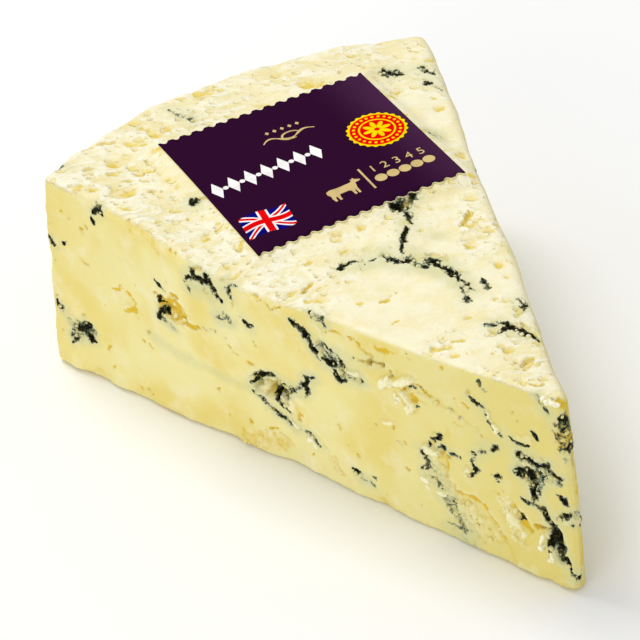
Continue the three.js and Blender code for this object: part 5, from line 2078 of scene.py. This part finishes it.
    def _flaking(self, g: Graph, colour: Field, height: Field) -> tuple[Field, Field]:
        """Soft torn layers on the top face, with painted highlight at each lip and feather crest, and
        painted butter-yellow shade in the dips and chips.

        Args:
            g: The material's tree.
            colour: The colour so far.
            height: The bump so far.

        Returns:
            The colour and the bump.
        """
        torn = g.attribute("torn")
        along = g.stretched((1.7, 1.0, 1.0), self.streak_turn)
        shelf = g.noise(2.8, 3, 0.5, 1.2, along)
        feather = g.noise(0.7, 4, 0.66, 0.8, along)
        lip = shelf.ramp(0.49, 0.55) * shelf.ramp(0.68, 0.56)
        chips = (self._chips(g, 3.1).max(self._chips(g, 1.6) * 0.7)) * torn.ramp(0.1, 0.6)
        # Painted shade in the dips between the layers.
        colour = g.mix((shelf * 0.6 + feather * 0.4).ramp(0.52, 0.4) * torn * 0.45, colour, self.deep_butter)
        # Painted highlight on each lip and on the feathers' crests.
        colour = g.mix((lip + feather.ramp(0.5, 0.7) * 0.4) * torn * 0.6, colour, self.dry_crumb_and_highlight)
        # Painted shade in the chips.
        colour = g.mix(chips.ramp(0.1, 0.85) * 0.9, colour, self.chip_shade)
        return colour, height + (shelf.ramp(0.4, 0.6) * 0.15 + feather * 0.24) * torn - chips * 0.4

    def _mould(self, g: Graph, colour: Field, blotch: Field) -> tuple[Field, Field]:
        """Grey-green haze, then flakes, then olive and black branching mould.

        Args:
            g: The material's tree.
            colour: The colour so far.
            blotch: Broad noise.

        Returns:
            The colour, and how strong the mould is.
        """
        mould, stain = g.attribute("mould"), g.attribute("stain")
        near = mould.ramp(0.0, 0.25)
        haze = stain * (0.35 + blotch * 1.1)
        colour = g.mix(haze.ramp(0.15, 1.0) * 0.7, colour, self.haze)
        clump, ragged = g.noise(1.5, 2, 0.5, 1.4), g.noise(0.5, 4, 0.7, 0.8)
        level = mould * 0.9 + ((clump - 0.5) * 1.4 + (ragged - 0.5) * 1.4) * near
        flake = g.mix(g.noise(0.7, 3, 0.6, 0.8).ramp(0.44, 0.6), self.flake, self.pale_flake)
        # Mould flakes turn rust where the painted ochre shade lies, and in random patches.
        rusty = g.attribute("ochre_shade").ramp(0.4, 0.9).max(g.noise(1.7, 3, 0.6).ramp(0.55, 0.65) * 0.7)
        flake = g.mix(rusty, flake, self.rust)
        colour = g.mix(level.ramp(0.06, 0.34) * near * 0.8, colour, flake)
        fringe = g.mix(clump.ramp(0.42, 0.54), self.olive, self.slate)
        colour = g.mix(level.ramp(0.32, 0.52), colour, fringe)
        black = g.mix(g.noise(0.45, 3, 0.6, 0.4).ramp(0.54, 0.66) * 0.55, self.black, self.olive)
        return g.mix(level.ramp(0.54, 0.74), colour, black), level

    def make(self) -> Material:
        """Builds the material.

        Returns:
            The material.
        """
        g = Graph("cheese_paste")
        blotch, grain, speck = g.noise(4.2, 3, 0.55), g.noise(0.9, 3, 0.6), g.noise(0.4, 2, 0.6)
        streak = g.noise(0.9, 4, 0.68, where=g.stretched((2.2, 1.0, 1.0), self.streak_turn))
        top, rim, pale = g.attribute("top"), g.attribute("rim"), g.attribute("pale")
        height = blotch * 0.1 + grain * 0.08 + speck * 0.05 + streak * (0.03 + top * 0.13)
        colour = self._flesh(g, blotch, grain)
        # Painted shade in the troughs of the fine streaks on top.
        colour = g.mix((1 - streak).ramp(0.5, 0.72) * top * 0.4, colour, self.warm_cream)
        colour, height = self._flaking(g, colour, height)
        # Painted highlight on rims that stand above their neighbours, stronger on top.
        colour = g.mix(rim.ramp(0.3, 1.2) * (0.2 + top * 0.3), colour, self.dry_crumb_and_highlight)
        colour, level = self._mould(g, colour, blotch)
        colour = g.mix((pale * (0.5 + speck)).ramp(0.2, 0.6), colour, self.crumb)
        # The palest crumbs turn white: partly their dry colour, partly painted highlight on their brightest
        # specks.
        colour = g.mix((pale + (speck - 0.5) * 1.5).ramp(0.55, 0.9) * 0.8, colour, self.dry_crumb_and_highlight)
        values = {
            "Base Color": colour,
            "Roughness": self.roughness,
            "Subsurface Weight": self.subsurface,
            "Subsurface Radius": (1.0, 0.75, 0.4),
            "Subsurface Scale": self.scatter * MM,
            "Specular IOR Level": 0.06,
        }
        return g.finish(values, bump=height - level.ramp(0.4, 0.8) * 0.15, height=1.0)


@dataclass(frozen=True)
class CardStock:
    """The coated card, printed dark aubergine on its face and white at its cut edge, with a painted sheen
    towards +X.
    """

    ink: Colour = paint(46, 13, 44)
    # The lighter ink is a painted sheen.
    sheen_ink: Colour = paint(72, 38, 70)
    sheen_from: float = 0.008
    sheen_to: float = 0.02
    paper: Colour = paint(244, 238, 190)

    def make(self) -> Material:
        """Builds the material.

        Returns:
            The material.
        """
        g = Graph("printed_card")
        edge = g.attribute("edge")
        x = g.node("ShaderNodeSeparateXYZ", {}, {"Vector": g.place}, output="X")
        # Painted sheen: the ink turns lighter towards +X, for a glossy reflection.
        sheen = x.ramp(self.sheen_from, self.sheen_to) * (0.6 + g.noise(22, 1) * 0.6)
        ink = g.mix(sheen, self.ink, self.sheen_ink)
        colour = g.mix(edge.ramp(0.4, 0.6), ink, self.paper)
        values = {"Base Color": colour, "Roughness": 0.5, "Specular IOR Level": 0.0}
        return g.finish(values, bump=g.noise(0.5, 2), height=0.01)


@dataclass(frozen=True)
class Ink:
    """A flat printed colour with the faint unevenness of print on card."""

    name: str
    colour: Triple
    fade: float = 0.93
    roughness: float = 0.45

    def make(self) -> Material:
        """Builds the material.

        Returns:
            The material.
        """
        g = Graph(self.name)
        dark = paint(*(self.fade * value for value in self.colour))
        colour = g.mix(g.noise(1.5, 3).ramp(0.4, 0.7), paint(*self.colour), dark)
        values = {"Base Color": colour, "Roughness": self.roughness, "Specular IOR Level": 0.0}
        return g.finish(values, bump=g.noise(0.4, 2), height=0.005)


GOLD = Ink("gold_ink", (214, 188, 128))
WHITE = Ink("white_ink", (250, 248, 244))
RED = Ink("red_ink", (234, 8, 12))
YELLOW = Ink("yellow_ink", (252, 220, 4))
BLUE = Ink("blue_ink", (14, 10, 122))


@dataclass
class Card:
    """The printed card on the top face, bent down over the soft shoulder."""

    width: float = 35.4
    depth: float = 34.6
    thickness: float = 0.4
    body: float = 0.3
    centre: Triple = (0.1, 21.5, 36.38)
    turn: float = math.radians(-2.3)
    tilt: float = math.radians(1.2)
    pitch: float = math.radians(0.4)
    bend: float = 1.5
    bend_power: float = 1.5
    teeth: int = 17
    tooth_depth: float = 0.6
    tooth_steps: int = 12
    rows: int = 26
    worn_edge: float = 0.36
    ink_height: float = 0.02

    def underside(self, places: Array) -> tuple[Array, Array]:
        """The card seen from the cheese below it.

        Args:
            places: Rows of x, y and z in millimetres.

        Returns:
            Height of the card's back over each place, and how far inside its outline the place lies.
        """
        forth, aside = math.cos(self.turn), math.sin(self.turn)
        away = places[:, :2] - self.centre[:2]
        x = away[:, 0] * forth + away[:, 1] * aside
        y = away[:, 1] * forth - away[:, 0] * aside
        back = self.lift(x, y, self.thickness / 2 - self.body)[:, 2] / MM
        inside = np.minimum(self.width / 2 - np.abs(x), self.depth / 2 - self.tooth_depth - np.abs(y))
        return back, inside

    def lift(self, x: Array, y: Array, height: "Array | float") -> Array:
        """Places over the bent card, in metres.

        Args:
            x: Distance right of the card's middle.
            y: Distance beyond the card's middle.
            height: Distance above the card's middle plane.

        Returns:
            Rows of x, y and z.
        """
        left = 0.5 - x / self.width
        near = 0.5 - y / self.depth
        z = height - self.bend * np.clip(left * near, 0, None) ** self.bend_power
        flat = np.column_stack([x, y, np.broadcast_to(z, np.shape(x))])
        turned = Euler((self.pitch, -self.tilt, self.turn), "ZYX").to_matrix()
        return (flat @ np.array(turned).T + np.array(self.centre)) * MM

    def build(self) -> Thing:
        """The card as a closed thin plate with wavy near and far edges.

        Returns:
            The card.
        """
        columns = self.teeth * self.tooth_steps
        across = np.linspace(0, 1, columns + 1)
        wave = np.clip(-np.cos(TAU * self.teeth * across), -0.5, 1) / 1.5 + 1 / 3
        half = self.depth / 2 - self.tooth_depth * wave
        along = np.linspace(-1, 1, self.rows + 1)
        x = np.repeat((across - 0.5) * self.width, self.rows + 1)
        y = (half[:, None] * along[None, :]).ravel()
        size = (columns + 1) * (self.rows + 1)
        top = self.lift(x, y, self.thickness / 2)
        base = self.lift(x, y, self.thickness / 2 - self.body)
        number = np.arange(size).reshape(columns + 1, self.rows + 1)
        a, b = number[:-1, :-1].ravel(), number[1:, :-1].ravel()
        c, d = number[1:, 1:].ravel(), number[:-1, 1:].ravel()
        faces = [np.column_stack([a, b, c, d]), np.column_stack([d, c, b, a]) + size]
        rim = np.concatenate([number[:, 0], number[-1, 1:], number[-2::-1, -1], number[0, -2:0:-1]])
        after = np.roll(rim, -1)
        faces.append(np.column_stack([rim, rim + size, after + size, after]))
        edge = np.ones(2 * size)
        edge[:size] = 0
        edge[rim] = self.worn_edge
        made = mesh_object("card_plate", np.concatenate([top, base]), np.concatenate(faces), {"edge": edge})
        made.data.materials.append(CardStock().make())
        return made

    def print_shape(self, name: str, outlines: Sequence[Array], ink: Material, level: int = 1) -> Thing:
        """Thin closed plates of ink on the card.

        Args:
            name: The object's name.
            outlines: Outlines in the card's own x and y, anticlockwise.
            ink: Their material.
            level: How many layers up they are printed.

        Returns:
            The plates.
        """
        points: list[Array] = []
        faces: list[tuple[int, ...]] = []
        high = self.thickness / 2 + self.ink_height * level
        start = 0
        for outline in outlines:
            count = len(outline)
            x, y = np.asarray(outline, dtype=float).T
            points.append(self.lift(x, y, high))
            points.append(self.lift(x, y, self.thickness / 2 - self.ink_height / 2))
            faces.append(tuple(range(start, start + count)))
            faces.append(tuple(range(start + 2 * count - 1, start + count - 1, -1)))
            for i in range(count):
                after = (i + 1) % count
                faces.append((start + i, start + count + i, start + count + after, start + after))
            start += 2 * count
        mesh = bpy.data.meshes.new(name)
        mesh.from_pydata(np.concatenate(points).tolist(), [], faces)
        mesh.materials.append(ink)
        return linked(name, mesh)

    def press(self, name: str, mesh: Mesh, at: Spot = (0.0, 0.0), level: float = 1) -> Thing:
        """Lays a flat mesh, centred on its own plane, on the card as ink.

        Args:
            name: The object's name.
            mesh: The mesh, in the card's own x and y.
            at: How far it is moved first.
            level: How many layers up it is printed.

        Returns:
            The ink.
        """
        places = np.array([corner.co for corner in mesh.vertices])
        high = self.thickness / 2 + np.where(places[:, 2] > 0, level, -0.5) * self.ink_height
        mesh.vertices.foreach_set("co", self.lift(places[:, 0] + at[0], places[:, 1] + at[1], high).ravel())
        mesh.update()
        return linked(name, mesh)


def ring_outline(centre: Spot, radius: float, steps: int = 40, lobes: int = 0,
                 lobe: float = 0.0) -> Array:
    """A disc's outline, with lobes where asked.

    Args:
        centre: Its x and y.
        radius: Its radius.
        steps: Points round it.
        lobes: How many lobes.
        lobe: How far they stand out.

    Returns:
        Rows of x and y.
    """
    angle = np.arange(steps) * TAU / steps
    reach = radius + lobe * np.cos(lobes * angle)
    return np.column_stack([centre[0] + reach * np.cos(angle), centre[1] + reach * np.sin(angle)])


def traced(corners: Sequence[Spot], step: float = 0.35) -> Array:
    """A closed outline with points added along its sides.

    Args:
        corners: The outline's corners.
        step: Greatest distance between points.

    Returns:
        Rows of x and y.
    """
    points: list[Array] = []
    for start, end in zip(corners, [*corners[1:], corners[0]]):
        start, end = np.array(start, dtype=float), np.array(end, dtype=float)
        count = max(1, round(np.linalg.norm(end - start) / step))
        points += [start + (end - start) * i / count for i in range(count)]
    return np.array(points)


def stroke(path: Array, widths: Array) -> Array:
    """The outline of a pen stroke along a path.

    Args:
        path: The pen's path.
        widths: The stroke's width at each point.

    Returns:
        Rows of x and y.
    """
    along = np.gradient(path, axis=0)
    along /= np.linalg.norm(along, axis=1, keepdims=True)
    aside = np.column_stack([-along[:, 1], along[:, 0]]) * widths[:, None] / 2
    return np.concatenate([path - aside, (path + aside)[::-1]])


@dataclass
class Emblems:
    """The card's plain generic marks, in the card's own x and y."""

    card: Card
    flag_low: Spot = (-17.0, -13.3)
    flag_size: Spot = (7.8, 5.5)
    flag_wave: float = 0.5
    seal_at: Spot = (12.2, 1.2)
    seal_radius: float = 4.7
    beads: int = 24
    beads_in: float = 1.05
    bead: Spot = (0.5, 0.5)
    dots_from: float = 6.6
    dots_to: float = 14.9
    dots_y: float = -10.8
    dots: int = 5
    dots_rise: float = 0.1
    dot: Spot = (1.95, 1.95)
    number_size: float = 2.5
    number_rise: float = 2.0
    bar: tuple[Spot, ...] = ((4.45, -12.8), (4.8, -12.8), (4.85, -6.8), (4.5, -6.8))
    row_from: float = -15.6
    row_to: float = 1.6
    row_y: float = 1.0
    row_rise: float = 0.6
    row_count: int = 7
    row_lozenge: Spot = (1.9, 4.4)
    row_disc: Spot = (0.9, 0.9)
    figure_at: Spot = (0.4, -10.4)
    flourish_at: Spot = (0.2, 7.6)

    def _repeated(self, name: str, sides: int, size: Spot, count: int, start: Spot, end: Spot, ink: Material,
                  level: int = 1, ring: float = 0.0) -> Thing:
        """Flat marks repeated along a line or round a circle by Geometry Nodes.

        Args:
            name: The object's name.
            sides: Sides of each mark: 4 for a lozenge, many for a disc.
            size: Breadth and height of each mark.
            count: How many there are.
            start: The first mark's place, or the circle's centre.
            end: The last mark's place.
            ink: The marks' material.
            level: How many layers up they are printed.
            ring: The circle's radius, or 0 for a line.

        Returns:
            The marks.
        """
        g = Grower(name, {"Count": "Int", "Breadth": "Float", "Height": "Float"})
        mark = g.node("GeometryNodeMeshCylinder", {}, {"Vertices": sides, "Radius": 1.0, "Depth": 1.0})
        halves = {"X": g.given("Breadth"), "Y": g.given("Height"), "Z": 1.0}
        scale = g.node("ShaderNodeCombineXYZ", {}, halves)
        if ring:
            line = g.node("GeometryNodeMeshCircle", {}, {"Vertices": g.given("Count"), "Radius": ring})
        else:
            gap = [(last - first) / (count - 1) for first, last in zip(start, end)]
            line = g.node("GeometryNodeMeshLine", {}, {"Count": g.given("Count"), "Offset": (*gap, 0.0)})
        placed = g.node("GeometryNodeTransform", {}, {"Geometry": line, "Translation": (*start, 0.0)})
        sockets = {"Points": placed, "Instance": mark, "Scale": scale}
        spread = g.node("GeometryNodeInstanceOnPoints", {}, sockets)
        values = {"Count": count, "Breadth": size[0] / 2, "Height": size[1] / 2}
        return self.card.press(name, g.grow(spread, ink, values), level=level)

    def flag(self, blue: Material, white: Material, red: Material) -> list[Thing]:
        """A small waving flag with upright and diagonal crosses.

        Args:
            blue: Ink of its field.
            white: Ink of the broad bands.
            red: Ink of the narrow bands.

        Returns:
            Its layers, lowest first.
        """
        wide, high = self.flag_size

        def waved(corners: Sequence[Spot]) -> Array:
            """An outline on the flag, waved and moved to its place.

            Args:
                corners: Its corners on the flat flag.

            Returns:
                Rows of x and y.
            """
            u, v = traced(corners).T
            sway = self.flag_wave * np.sin(TAU * u / wide * 0.9) * (0.6 + 0.4 * u / wide)
            return np.column_stack([u + self.flag_low[0] + 0.12 * v, v + sway + self.flag_low[1]])

        def diagonal(width: float, rising: bool) -> list[Spot]:
            """A band from corner to corner, cut off at the flag's edges.

            Args:
                width: Its width.
                rising: Whether it rises to the right.

            Returns:
                Its corners.
            """
            across = width / 2 * math.hypot(wide, high)
            a, b = across / high, across / wide
            band = [(0, 0), (a, 0), (wide, high - b), (wide, high), (wide - a, high), (0, b)]
            return band if rising else [(x, high - y) for x, y in reversed(band)]

        def upright(width: float) -> list[list[Spot]]:
            """The two bars of an upright cross.

            Args:
                width: Their width.

            Returns:
                Each bar's corners.
            """
            x, y, half = wide / 2, high / 2, width / 2
            return [
                [(x - half, 0), (x + half, 0), (x + half, high), (x - half, high)],
                [(0, y - half), (wide, y - half), (wide, y + half), (0, y + half)],
            ]

        cloth = [(0, 0), (wide, 0), (wide, high), (0, high)]
        layers = (
            ("flag_field", [cloth], blue),
            ("flag_saltire", [diagonal(1.0, True), diagonal(1.0, False)], white),
            ("flag_saltire_red", [diagonal(0.42, True), diagonal(0.42, False)], red),
            ("flag_cross", upright(1.7), white),
            ("flag_cross_red", upright(1.05), red),
        )
        return [
            self.card.print_shape(name, [waved(shape) for shape in shapes], ink, level)
            for level, (name, shapes, ink) in enumerate(layers, 1)
        ]

    def seal(self, red: Material, yellow: Material) -> list[Thing]:
        """A round scalloped seal with a ring of beads and a plain rosette.

        Args:
            red: Ink of the band and disc.
            yellow: Ink of the rest.

        Returns:
            Its layers, lowest first.
        """
        centre, radius = self.seal_at, self.seal_radius
        petals = []
        for i in range(8):
            angle = TAU * i / 8
            outline = ring_outline((0, 0), 0.5, 24) * (1.9, 0.8) + (1.35, 0)
            turn = np.array([[math.cos(angle), math.sin(angle)], [-math.sin(angle), math.cos(angle)]])
            petals.append(outline @ turn + centre)
        rings = (
            ("seal_rim", [ring_outline(centre, radius, 144, 24, 0.16)], yellow, 1),
            ("seal_band", [ring_outline(centre, radius - 0.45, 72)], red, 2),
            ("seal_ring", [ring_outline(centre, radius - 1.75, 60)], yellow, 3),
            ("seal_disc", [ring_outline(centre, radius - 2.05, 60)], red, 4),
            ("seal_rosette", petals, yellow, 5),
        )
        made = [self.card.print_shape(*ring) for ring in rings[:2]]
        at = radius - self.beads_in
        made.append(self._repeated("seal_beads", 12, self.bead, self.beads, centre, centre, yellow, 3, at))
        return made + [self.card.print_shape(*ring) for ring in rings[2:]]

    def scale(self, gold: Material) -> list[Thing]:
        """Five dots with their numbers, and the upright bar beside them.

        Args:
            gold: Their ink.

        Returns:
            The dots, the bar and the numbers.
        """
        start, end = (self.dots_from, self.dots_y), (self.dots_to, self.dots_y + self.dots_rise)
        made = [self._repeated("scale_dots", 28, self.dot, self.dots, start, end, gold)]
        made.append(self.card.print_shape("scale_bar", [traced(self.bar)], gold))
        for i in range(self.dots):
            x = self.dots_from + (self.dots_to - self.dots_from) * i / (self.dots - 1)
            made.append(self._number(str(i + 1), (x, self.dots_y + self.number_rise), gold))
        return made

    def _number(self, figure: str, at: Spot, ink: Material) -> Thing:
        """A plain number, centred over its place.

        Args:
            figure: The number.
            at: Its place on the card.
            ink: Its material.

        Returns:
            The number.
        """
        curve = bpy.data.curves.new("number_" + figure, "FONT")
        curve.body = figure
        curve.size = self.number_size
        curve.align_x = "CENTER"
        curve.extrude = 0.5
        mesh = plain_mesh(linked("number_" + figure, curve))
        mesh.materials.clear()
        mesh.materials.append(ink)
        made = self.card.press("scale_number_" + figure, mesh, at)
        welded(mesh)
        return made

    def figure(self, gold: Material) -> Thing:
        """A small plain figure of a grazing cow.

        Args:
            gold: Its ink.

        Returns:
            The cow.
        """
        x, y = self.figure_at
        outline = [
            (-2.6, 0.9), (-2.7, 0.2), (-2.4, -0.4), (-2.5, -1.1), (-2.35, -2), (-2, -2), (-1.95, -1.2),
            (-1.65, -0.8), (-1.6, -1.3), (-1.55, -2), (-1.2, -2), (-1.15, -1.2), (-0.95, -0.6),
            (0.6, -0.55), (0.9, -0.8), (1, -2), (1.35, -2), (1.4, -1), (1.6, -1), (1.65, -2), (2, -2),
            (2.05, -0.5), (2.25, 0.25), (2.35, 0.8), (2.75, 0.85), (3.25, 0.95), (3.35, 1.25), (3, 1.4),
            (2.55, 1.75), (2.45, 2.15), (2.25, 1.8), (1.9, 1.9), (2, 1.5), (1.6, 1.2), (0.8, 1.15),
            (-0.5, 1.05), (-1.9, 1.2),
        ]
        return self.card.print_shape("cow_figure", [np.array(outline) + (x, y)], gold)

    def flourish(self, gold: Material) -> list[Thing]:
        """A swelling pen flourish under a row of small lozenges.

        Args:
            gold: Their ink.

        Returns:
            The flourish and the lozenges.
        """
        x, y = self.flourish_at
        share = np.linspace(0, 1, 60)
        rise = 0.9 * np.sin(TAU * 1.5 * share) * (1 - 0.4 * share)
        path = np.column_stack([x - 4.4 + 8.8 * share, y + rise])
        widths = 0.18 + 0.42 * np.abs(np.sin(TAU * 1.5 * share + 0.6)) * np.sin(math.pi * share)
        turn = TAU * share * 0.8
        curl = np.column_stack([x + 0.4 + 1.5 * np.cos(turn), y + 0.1 + np.sin(turn)])
        shapes = [stroke(path, widths), stroke(curl, 0.14 + 0.2 * np.sin(math.pi * share))]
        made = [self.card.print_shape("pen_flourish", shapes, gold)]
        start, end = (x - 2.6, y + 2.5), (x + 2.6, y + 2.5)
        made.append(self._repeated("small_lozenges", 4, (0.7, 0.9), 5, start, end, gold))
        return made

    def title_row(self, white: Material) -> list[Thing]:
        """A row of white lozenges with small discs between them.

        Args:
            white: Their ink.

        Returns:
            The lozenges and the discs.
        """
        low, high = self.row_y - self.row_rise / 2, self.row_y + self.row_rise / 2
        start, end = (self.row_from, low), (self.row_to, high)
        half = (self.row_to - self.row_from) / (self.row_count - 1) / 2
        between = (self.row_from + half, low), (self.row_to - half, high)
        return [
            self._repeated("row_lozenges", 4, self.row_lozenge, self.row_count, start, end, white),
            self._repeated("row_discs", 20, self.row_disc, self.row_count - 1, *between, white),
        ]

    def build(self) -> list[Thing]:
        """Prints every mark.

        Returns:
            The marks.
        """
        gold, white, red, yellow, blue = (ink.make() for ink in (GOLD, WHITE, RED, YELLOW, BLUE))
        made = [*self.flag(blue, white, red), *self.seal(red, yellow), *self.scale(gold), self.figure(gold)]
        return [*made, *self.flourish(gold), *self.title_row(white)]


def welded(mesh: Mesh) -> None:
    """Merges doubled points, so that the mesh is closed, and turns its faces outwards.

    Args:
        mesh: The mesh.
    """
    shape = bmesh.new()
    shape.from_mesh(mesh)
    bmesh.ops.remove_doubles(shape, verts=shape.verts, dist=1e-7)
    bmesh.ops.recalc_face_normals(shape, faces=shape.faces)
    shape.to_mesh(mesh)
    shape.free()


def kept_values(mesh: Mesh, name: str) -> Array:
    """A value kept on a mesh's points.

    Args:
        mesh: The mesh.
        name: The value's name.

    Returns:
        One for each point.
    """
    held = np.zeros(len(mesh.vertices), dtype=np.float32)
    mesh.attributes[name].data.foreach_get("value", held)
    return held


@dataclass(frozen=True)
class Crumbs:
    """Crumbs that cling to the rough and flaky places of the cheese.

    Args:
        count: How many there are.
        least: Radius of the smallest, in millimetres.
        most: Radius of the largest.
        sunk: Share of the radius that sits in the cheese.
        warp: How far their outlines are bent.
    """

    count: int = 320
    least: float = 0.16
    most: float = 0.46
    sunk: float = 0.35
    warp: float = 0.16
    seed: int = 17

    def _anchors(self, cheese: Mesh) -> Mesh:
        """Loose points on the cheese where crumbs sit, with the colours found there.

        Args:
            cheese: The cheese's mesh.

        Returns:
            The points.
        """
        draw = np.random.default_rng(self.seed)
        count = len(cheese.vertices)
        places, facings = np.zeros(3 * count), np.zeros(3 * count)
        cheese.vertices.foreach_get("co", places)
        cheese.vertices.foreach_get("normal", facings)
        places = places.reshape(-1, 3) - self.sunk * self.least * MM * facings.reshape(-1, 3)
        crumble, pale, mould = (kept_values(cheese, name) for name in ("crumble", "pale", "mould"))
        weight = (crumble + 0.8 * pale + 0.3 * (mould > 0.25)) * (places[:, 2] > 0.8 * MM)
        chosen = draw.choice(count, self.count, replace=False, p=weight / weight.sum())
        mesh = bpy.data.meshes.new("crumb_places")
        mesh.from_pydata(places[chosen].tolist(), [], [])
        for name in ("top", "stain", "pale"):
            attribute = mesh.attributes.new(name, "FLOAT", "POINT")
            attribute.data.foreach_set("value", kept_values(cheese, name)[chosen])
        return mesh

    def build(self, cheese: Mesh, paste: Material) -> Thing:
        """Puts a small round solid on every place, bends the outlines and keeps them in the cheese's box.

        Args:
            cheese: The cheese's mesh.
            paste: The cheese's material.

        Returns:
            The crumbs.
        """
        g = Grower("crumbs", {"Geometry": "Geometry", "Least": "Float", "Most": "Float", "Seed": "Int"})
        ball = g.node("GeometryNodeMeshIcoSphere", {}, {"Radius": 1.0, "Subdivisions": 2})
        turns = {"Max": (TAU, TAU, TAU), "Seed": g.given("Seed")}
        turn = g.node("FunctionNodeRandomValue", {"data_type": "FLOAT_VECTOR"}, turns, "Value")
        sizes = {"Min_001": g.given("Least"), "Max_001": g.given("Most"), "Seed": g.given("Seed")}
        size = g.node("FunctionNodeRandomValue", {}, sizes, "Value_001")
        sockets = {"Points": g.given("Geometry"), "Instance": ball, "Rotation": turn, "Scale": size}
        spread = g.node("GeometryNodeInstanceOnPoints", {}, sockets)
        values = {"Least": self.least * MM, "Most": self.most * MM, "Seed": self.seed}
        mesh = g.grow(spread, paste, values, self._anchors(cheese))
        places = np.array([corner.co for corner in mesh.vertices]) / MM
        noise = Noise(self.seed)
        bends = [noise.at(places + 40 * i, 0.5) for i in range(3)]
        low, high = (np.array(corner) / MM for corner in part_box("cheese"))
        places = np.clip(places + self.warp * np.stack(bends, axis=1), low, high)
        mesh.vertices.foreach_set("co", (places * MM).ravel())
        mesh.shade_smooth()
        mesh.update()
        return linked("crumbs", mesh)


@dataclass(frozen=True)
class Lamp:
    """A square soft light that faces the object, in metres and watts."""

    name: str
    place: Triple
    size: float
    power: float

    def hang(self) -> None:
        """Puts the light in the scene."""
        data = bpy.data.lights.new(self.name, "AREA")
        data.size = self.size
        data.energy = self.power
        made = linked(self.name, data)
        made.location = self.place
        made.rotation_euler = (-Vector(self.place)).to_track_quat("-Z", "Y").to_euler()


@dataclass
class Studio:
    """Camera, lights and floor.

    Args:
        azimuth: The camera's bearing; 0 looks along +Y.
        elevation: Its height above the horizon.
        roll: How far it is turned about its own axis.
        aim: Where the picture's middle lies, right and up of the origin's line.
        shift_y: How far the camera is moved along the wedge.
        distance: How far it is from the origin's plane.
        focal_pixels: Focal length over the picture's pixels.
        picture: The picture's width in pixels.
        sensor: Width of the camera's sensor.
        surround: Strength of the light from all round.
        lamps: The lights.
        floor_reach: How far the floor runs each way, in metres.
    """

    azimuth: float = math.radians(-26.4)
    elevation: float = math.radians(33.8)
    roll: float = math.radians(-5.33)
    aim: Spot = (-12.4, 15.9)
    shift_y: float = -1.3
    distance: float = 768.0
    focal_pixels: float = 5000.0
    picture: float = 640.0
    sensor: float = 36.0
    surround: float = 0.62
    lamps: tuple[Lamp, ...] = (
        Lamp("overhead", (-0.1, 0.4, 0.75), 0.4, 3.2),
        Lamp("fill", (-0.75, -0.55, 0.35), 0.5, 2.2),
    )
    floor_reach: float = 3.0

    def _axes(self) -> tuple[Vector, Vector, Vector]:
        """The camera's right, up and backward directions.

        Returns:
            The three directions.
        """
        flat, high = math.cos(self.elevation), math.sin(self.elevation)
        aside, ahead = math.sin(self.azimuth), math.cos(self.azimuth)
        back = Vector((aside * flat, -ahead * flat, high))
        level = Vector((ahead, aside, 0))
        upright = back.cross(level)
        right = level * math.cos(self.roll) + upright * math.sin(self.roll)
        up = upright * math.cos(self.roll) - level * math.sin(self.roll)
        return right, up, back

    def camera(self) -> None:
        """Places the camera at the photograph's viewing angle."""
        right, up, back = self._axes()
        where = right * self.aim[0] + up * self.aim[1] + back * self.distance + Vector((0, self.shift_y, 0))
        data = bpy.data.cameras.new("view")
        data.sensor_width = self.sensor
        data.lens = self.focal_pixels / self.picture * self.sensor
        data.clip_end = 20
        made = linked("view", data)
        made.matrix_world = Matrix.Translation(where * MM) @ Matrix((right, up, back)).transposed().to_4x4()
        bpy.context.scene.camera = made

    def lights(self) -> None:
        """A pale surround, a large light overhead and behind, and a weak fill."""
        world = bpy.data.worlds.new("surround")
        world.use_nodes = True
        sky = world.node_tree.nodes["Background"].inputs
        sky["Color"].default_value = (1, 1, 1, 1)
        sky["Strength"].default_value = self.surround
        bpy.context.scene.world = world
        for lamp in self.lamps:
            lamp.hang()

    def floor(self) -> None:
        """A plain pale floor that is far wider than the object."""
        corners = self.floor_reach * np.array([(-1, -1, 0), (1, -1, 0), (1, 1, 0), (-1, 1, 0)])
        made = mesh_object("floor", corners, np.array([[0, 1, 2, 3]]))
        g = Graph("pale_floor")
        tone = g.mix(g.noise(60, 2), (0.93, 0.93, 0.925, 1), (0.95, 0.95, 0.945, 1))
        made.data.materials.append(g.finish({"Base Color": tone, "Roughness": 0.9}))

    def set_up(self) -> None:
        """Makes all of it and keeps colours as plain screen values."""
        self.camera()
        self.lights()
        self.floor()
        view = bpy.context.scene.view_settings
        view.view_transform = "Standard"
        view.look = "None"


def hand_over(piece: Thing, slot: str, node: str | None = None) -> None:
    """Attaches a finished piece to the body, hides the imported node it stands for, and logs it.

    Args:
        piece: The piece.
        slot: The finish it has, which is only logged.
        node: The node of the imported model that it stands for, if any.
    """
    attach(piece, BODY)
    if node:
        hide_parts(node)
    log.info("%s: %d faces, slot %s", piece.name, len(piece.data.polygons), slot)


def main() -> None:
    """Builds the studio, the cheese and its card."""
    logging.basicConfig(level=logging.INFO, format="%(name)s: %(message)s")
    Studio().set_up()
    card = Card()
    cheese = Cheese(Wedge(), card).build()
    paste = Paste().make()
    cheese.data.materials.append(paste)
    hand_over(cheese, "paste", "cheese")
    hand_over(Crumbs().build(cheese.data, paste), "paste")
    plate = card.build()
    hand_over(plate, "card", "label")
    for mark in Emblems(card).build():
        hand_over(mark, "card")
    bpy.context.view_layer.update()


if __name__ == "__main__":
    main()
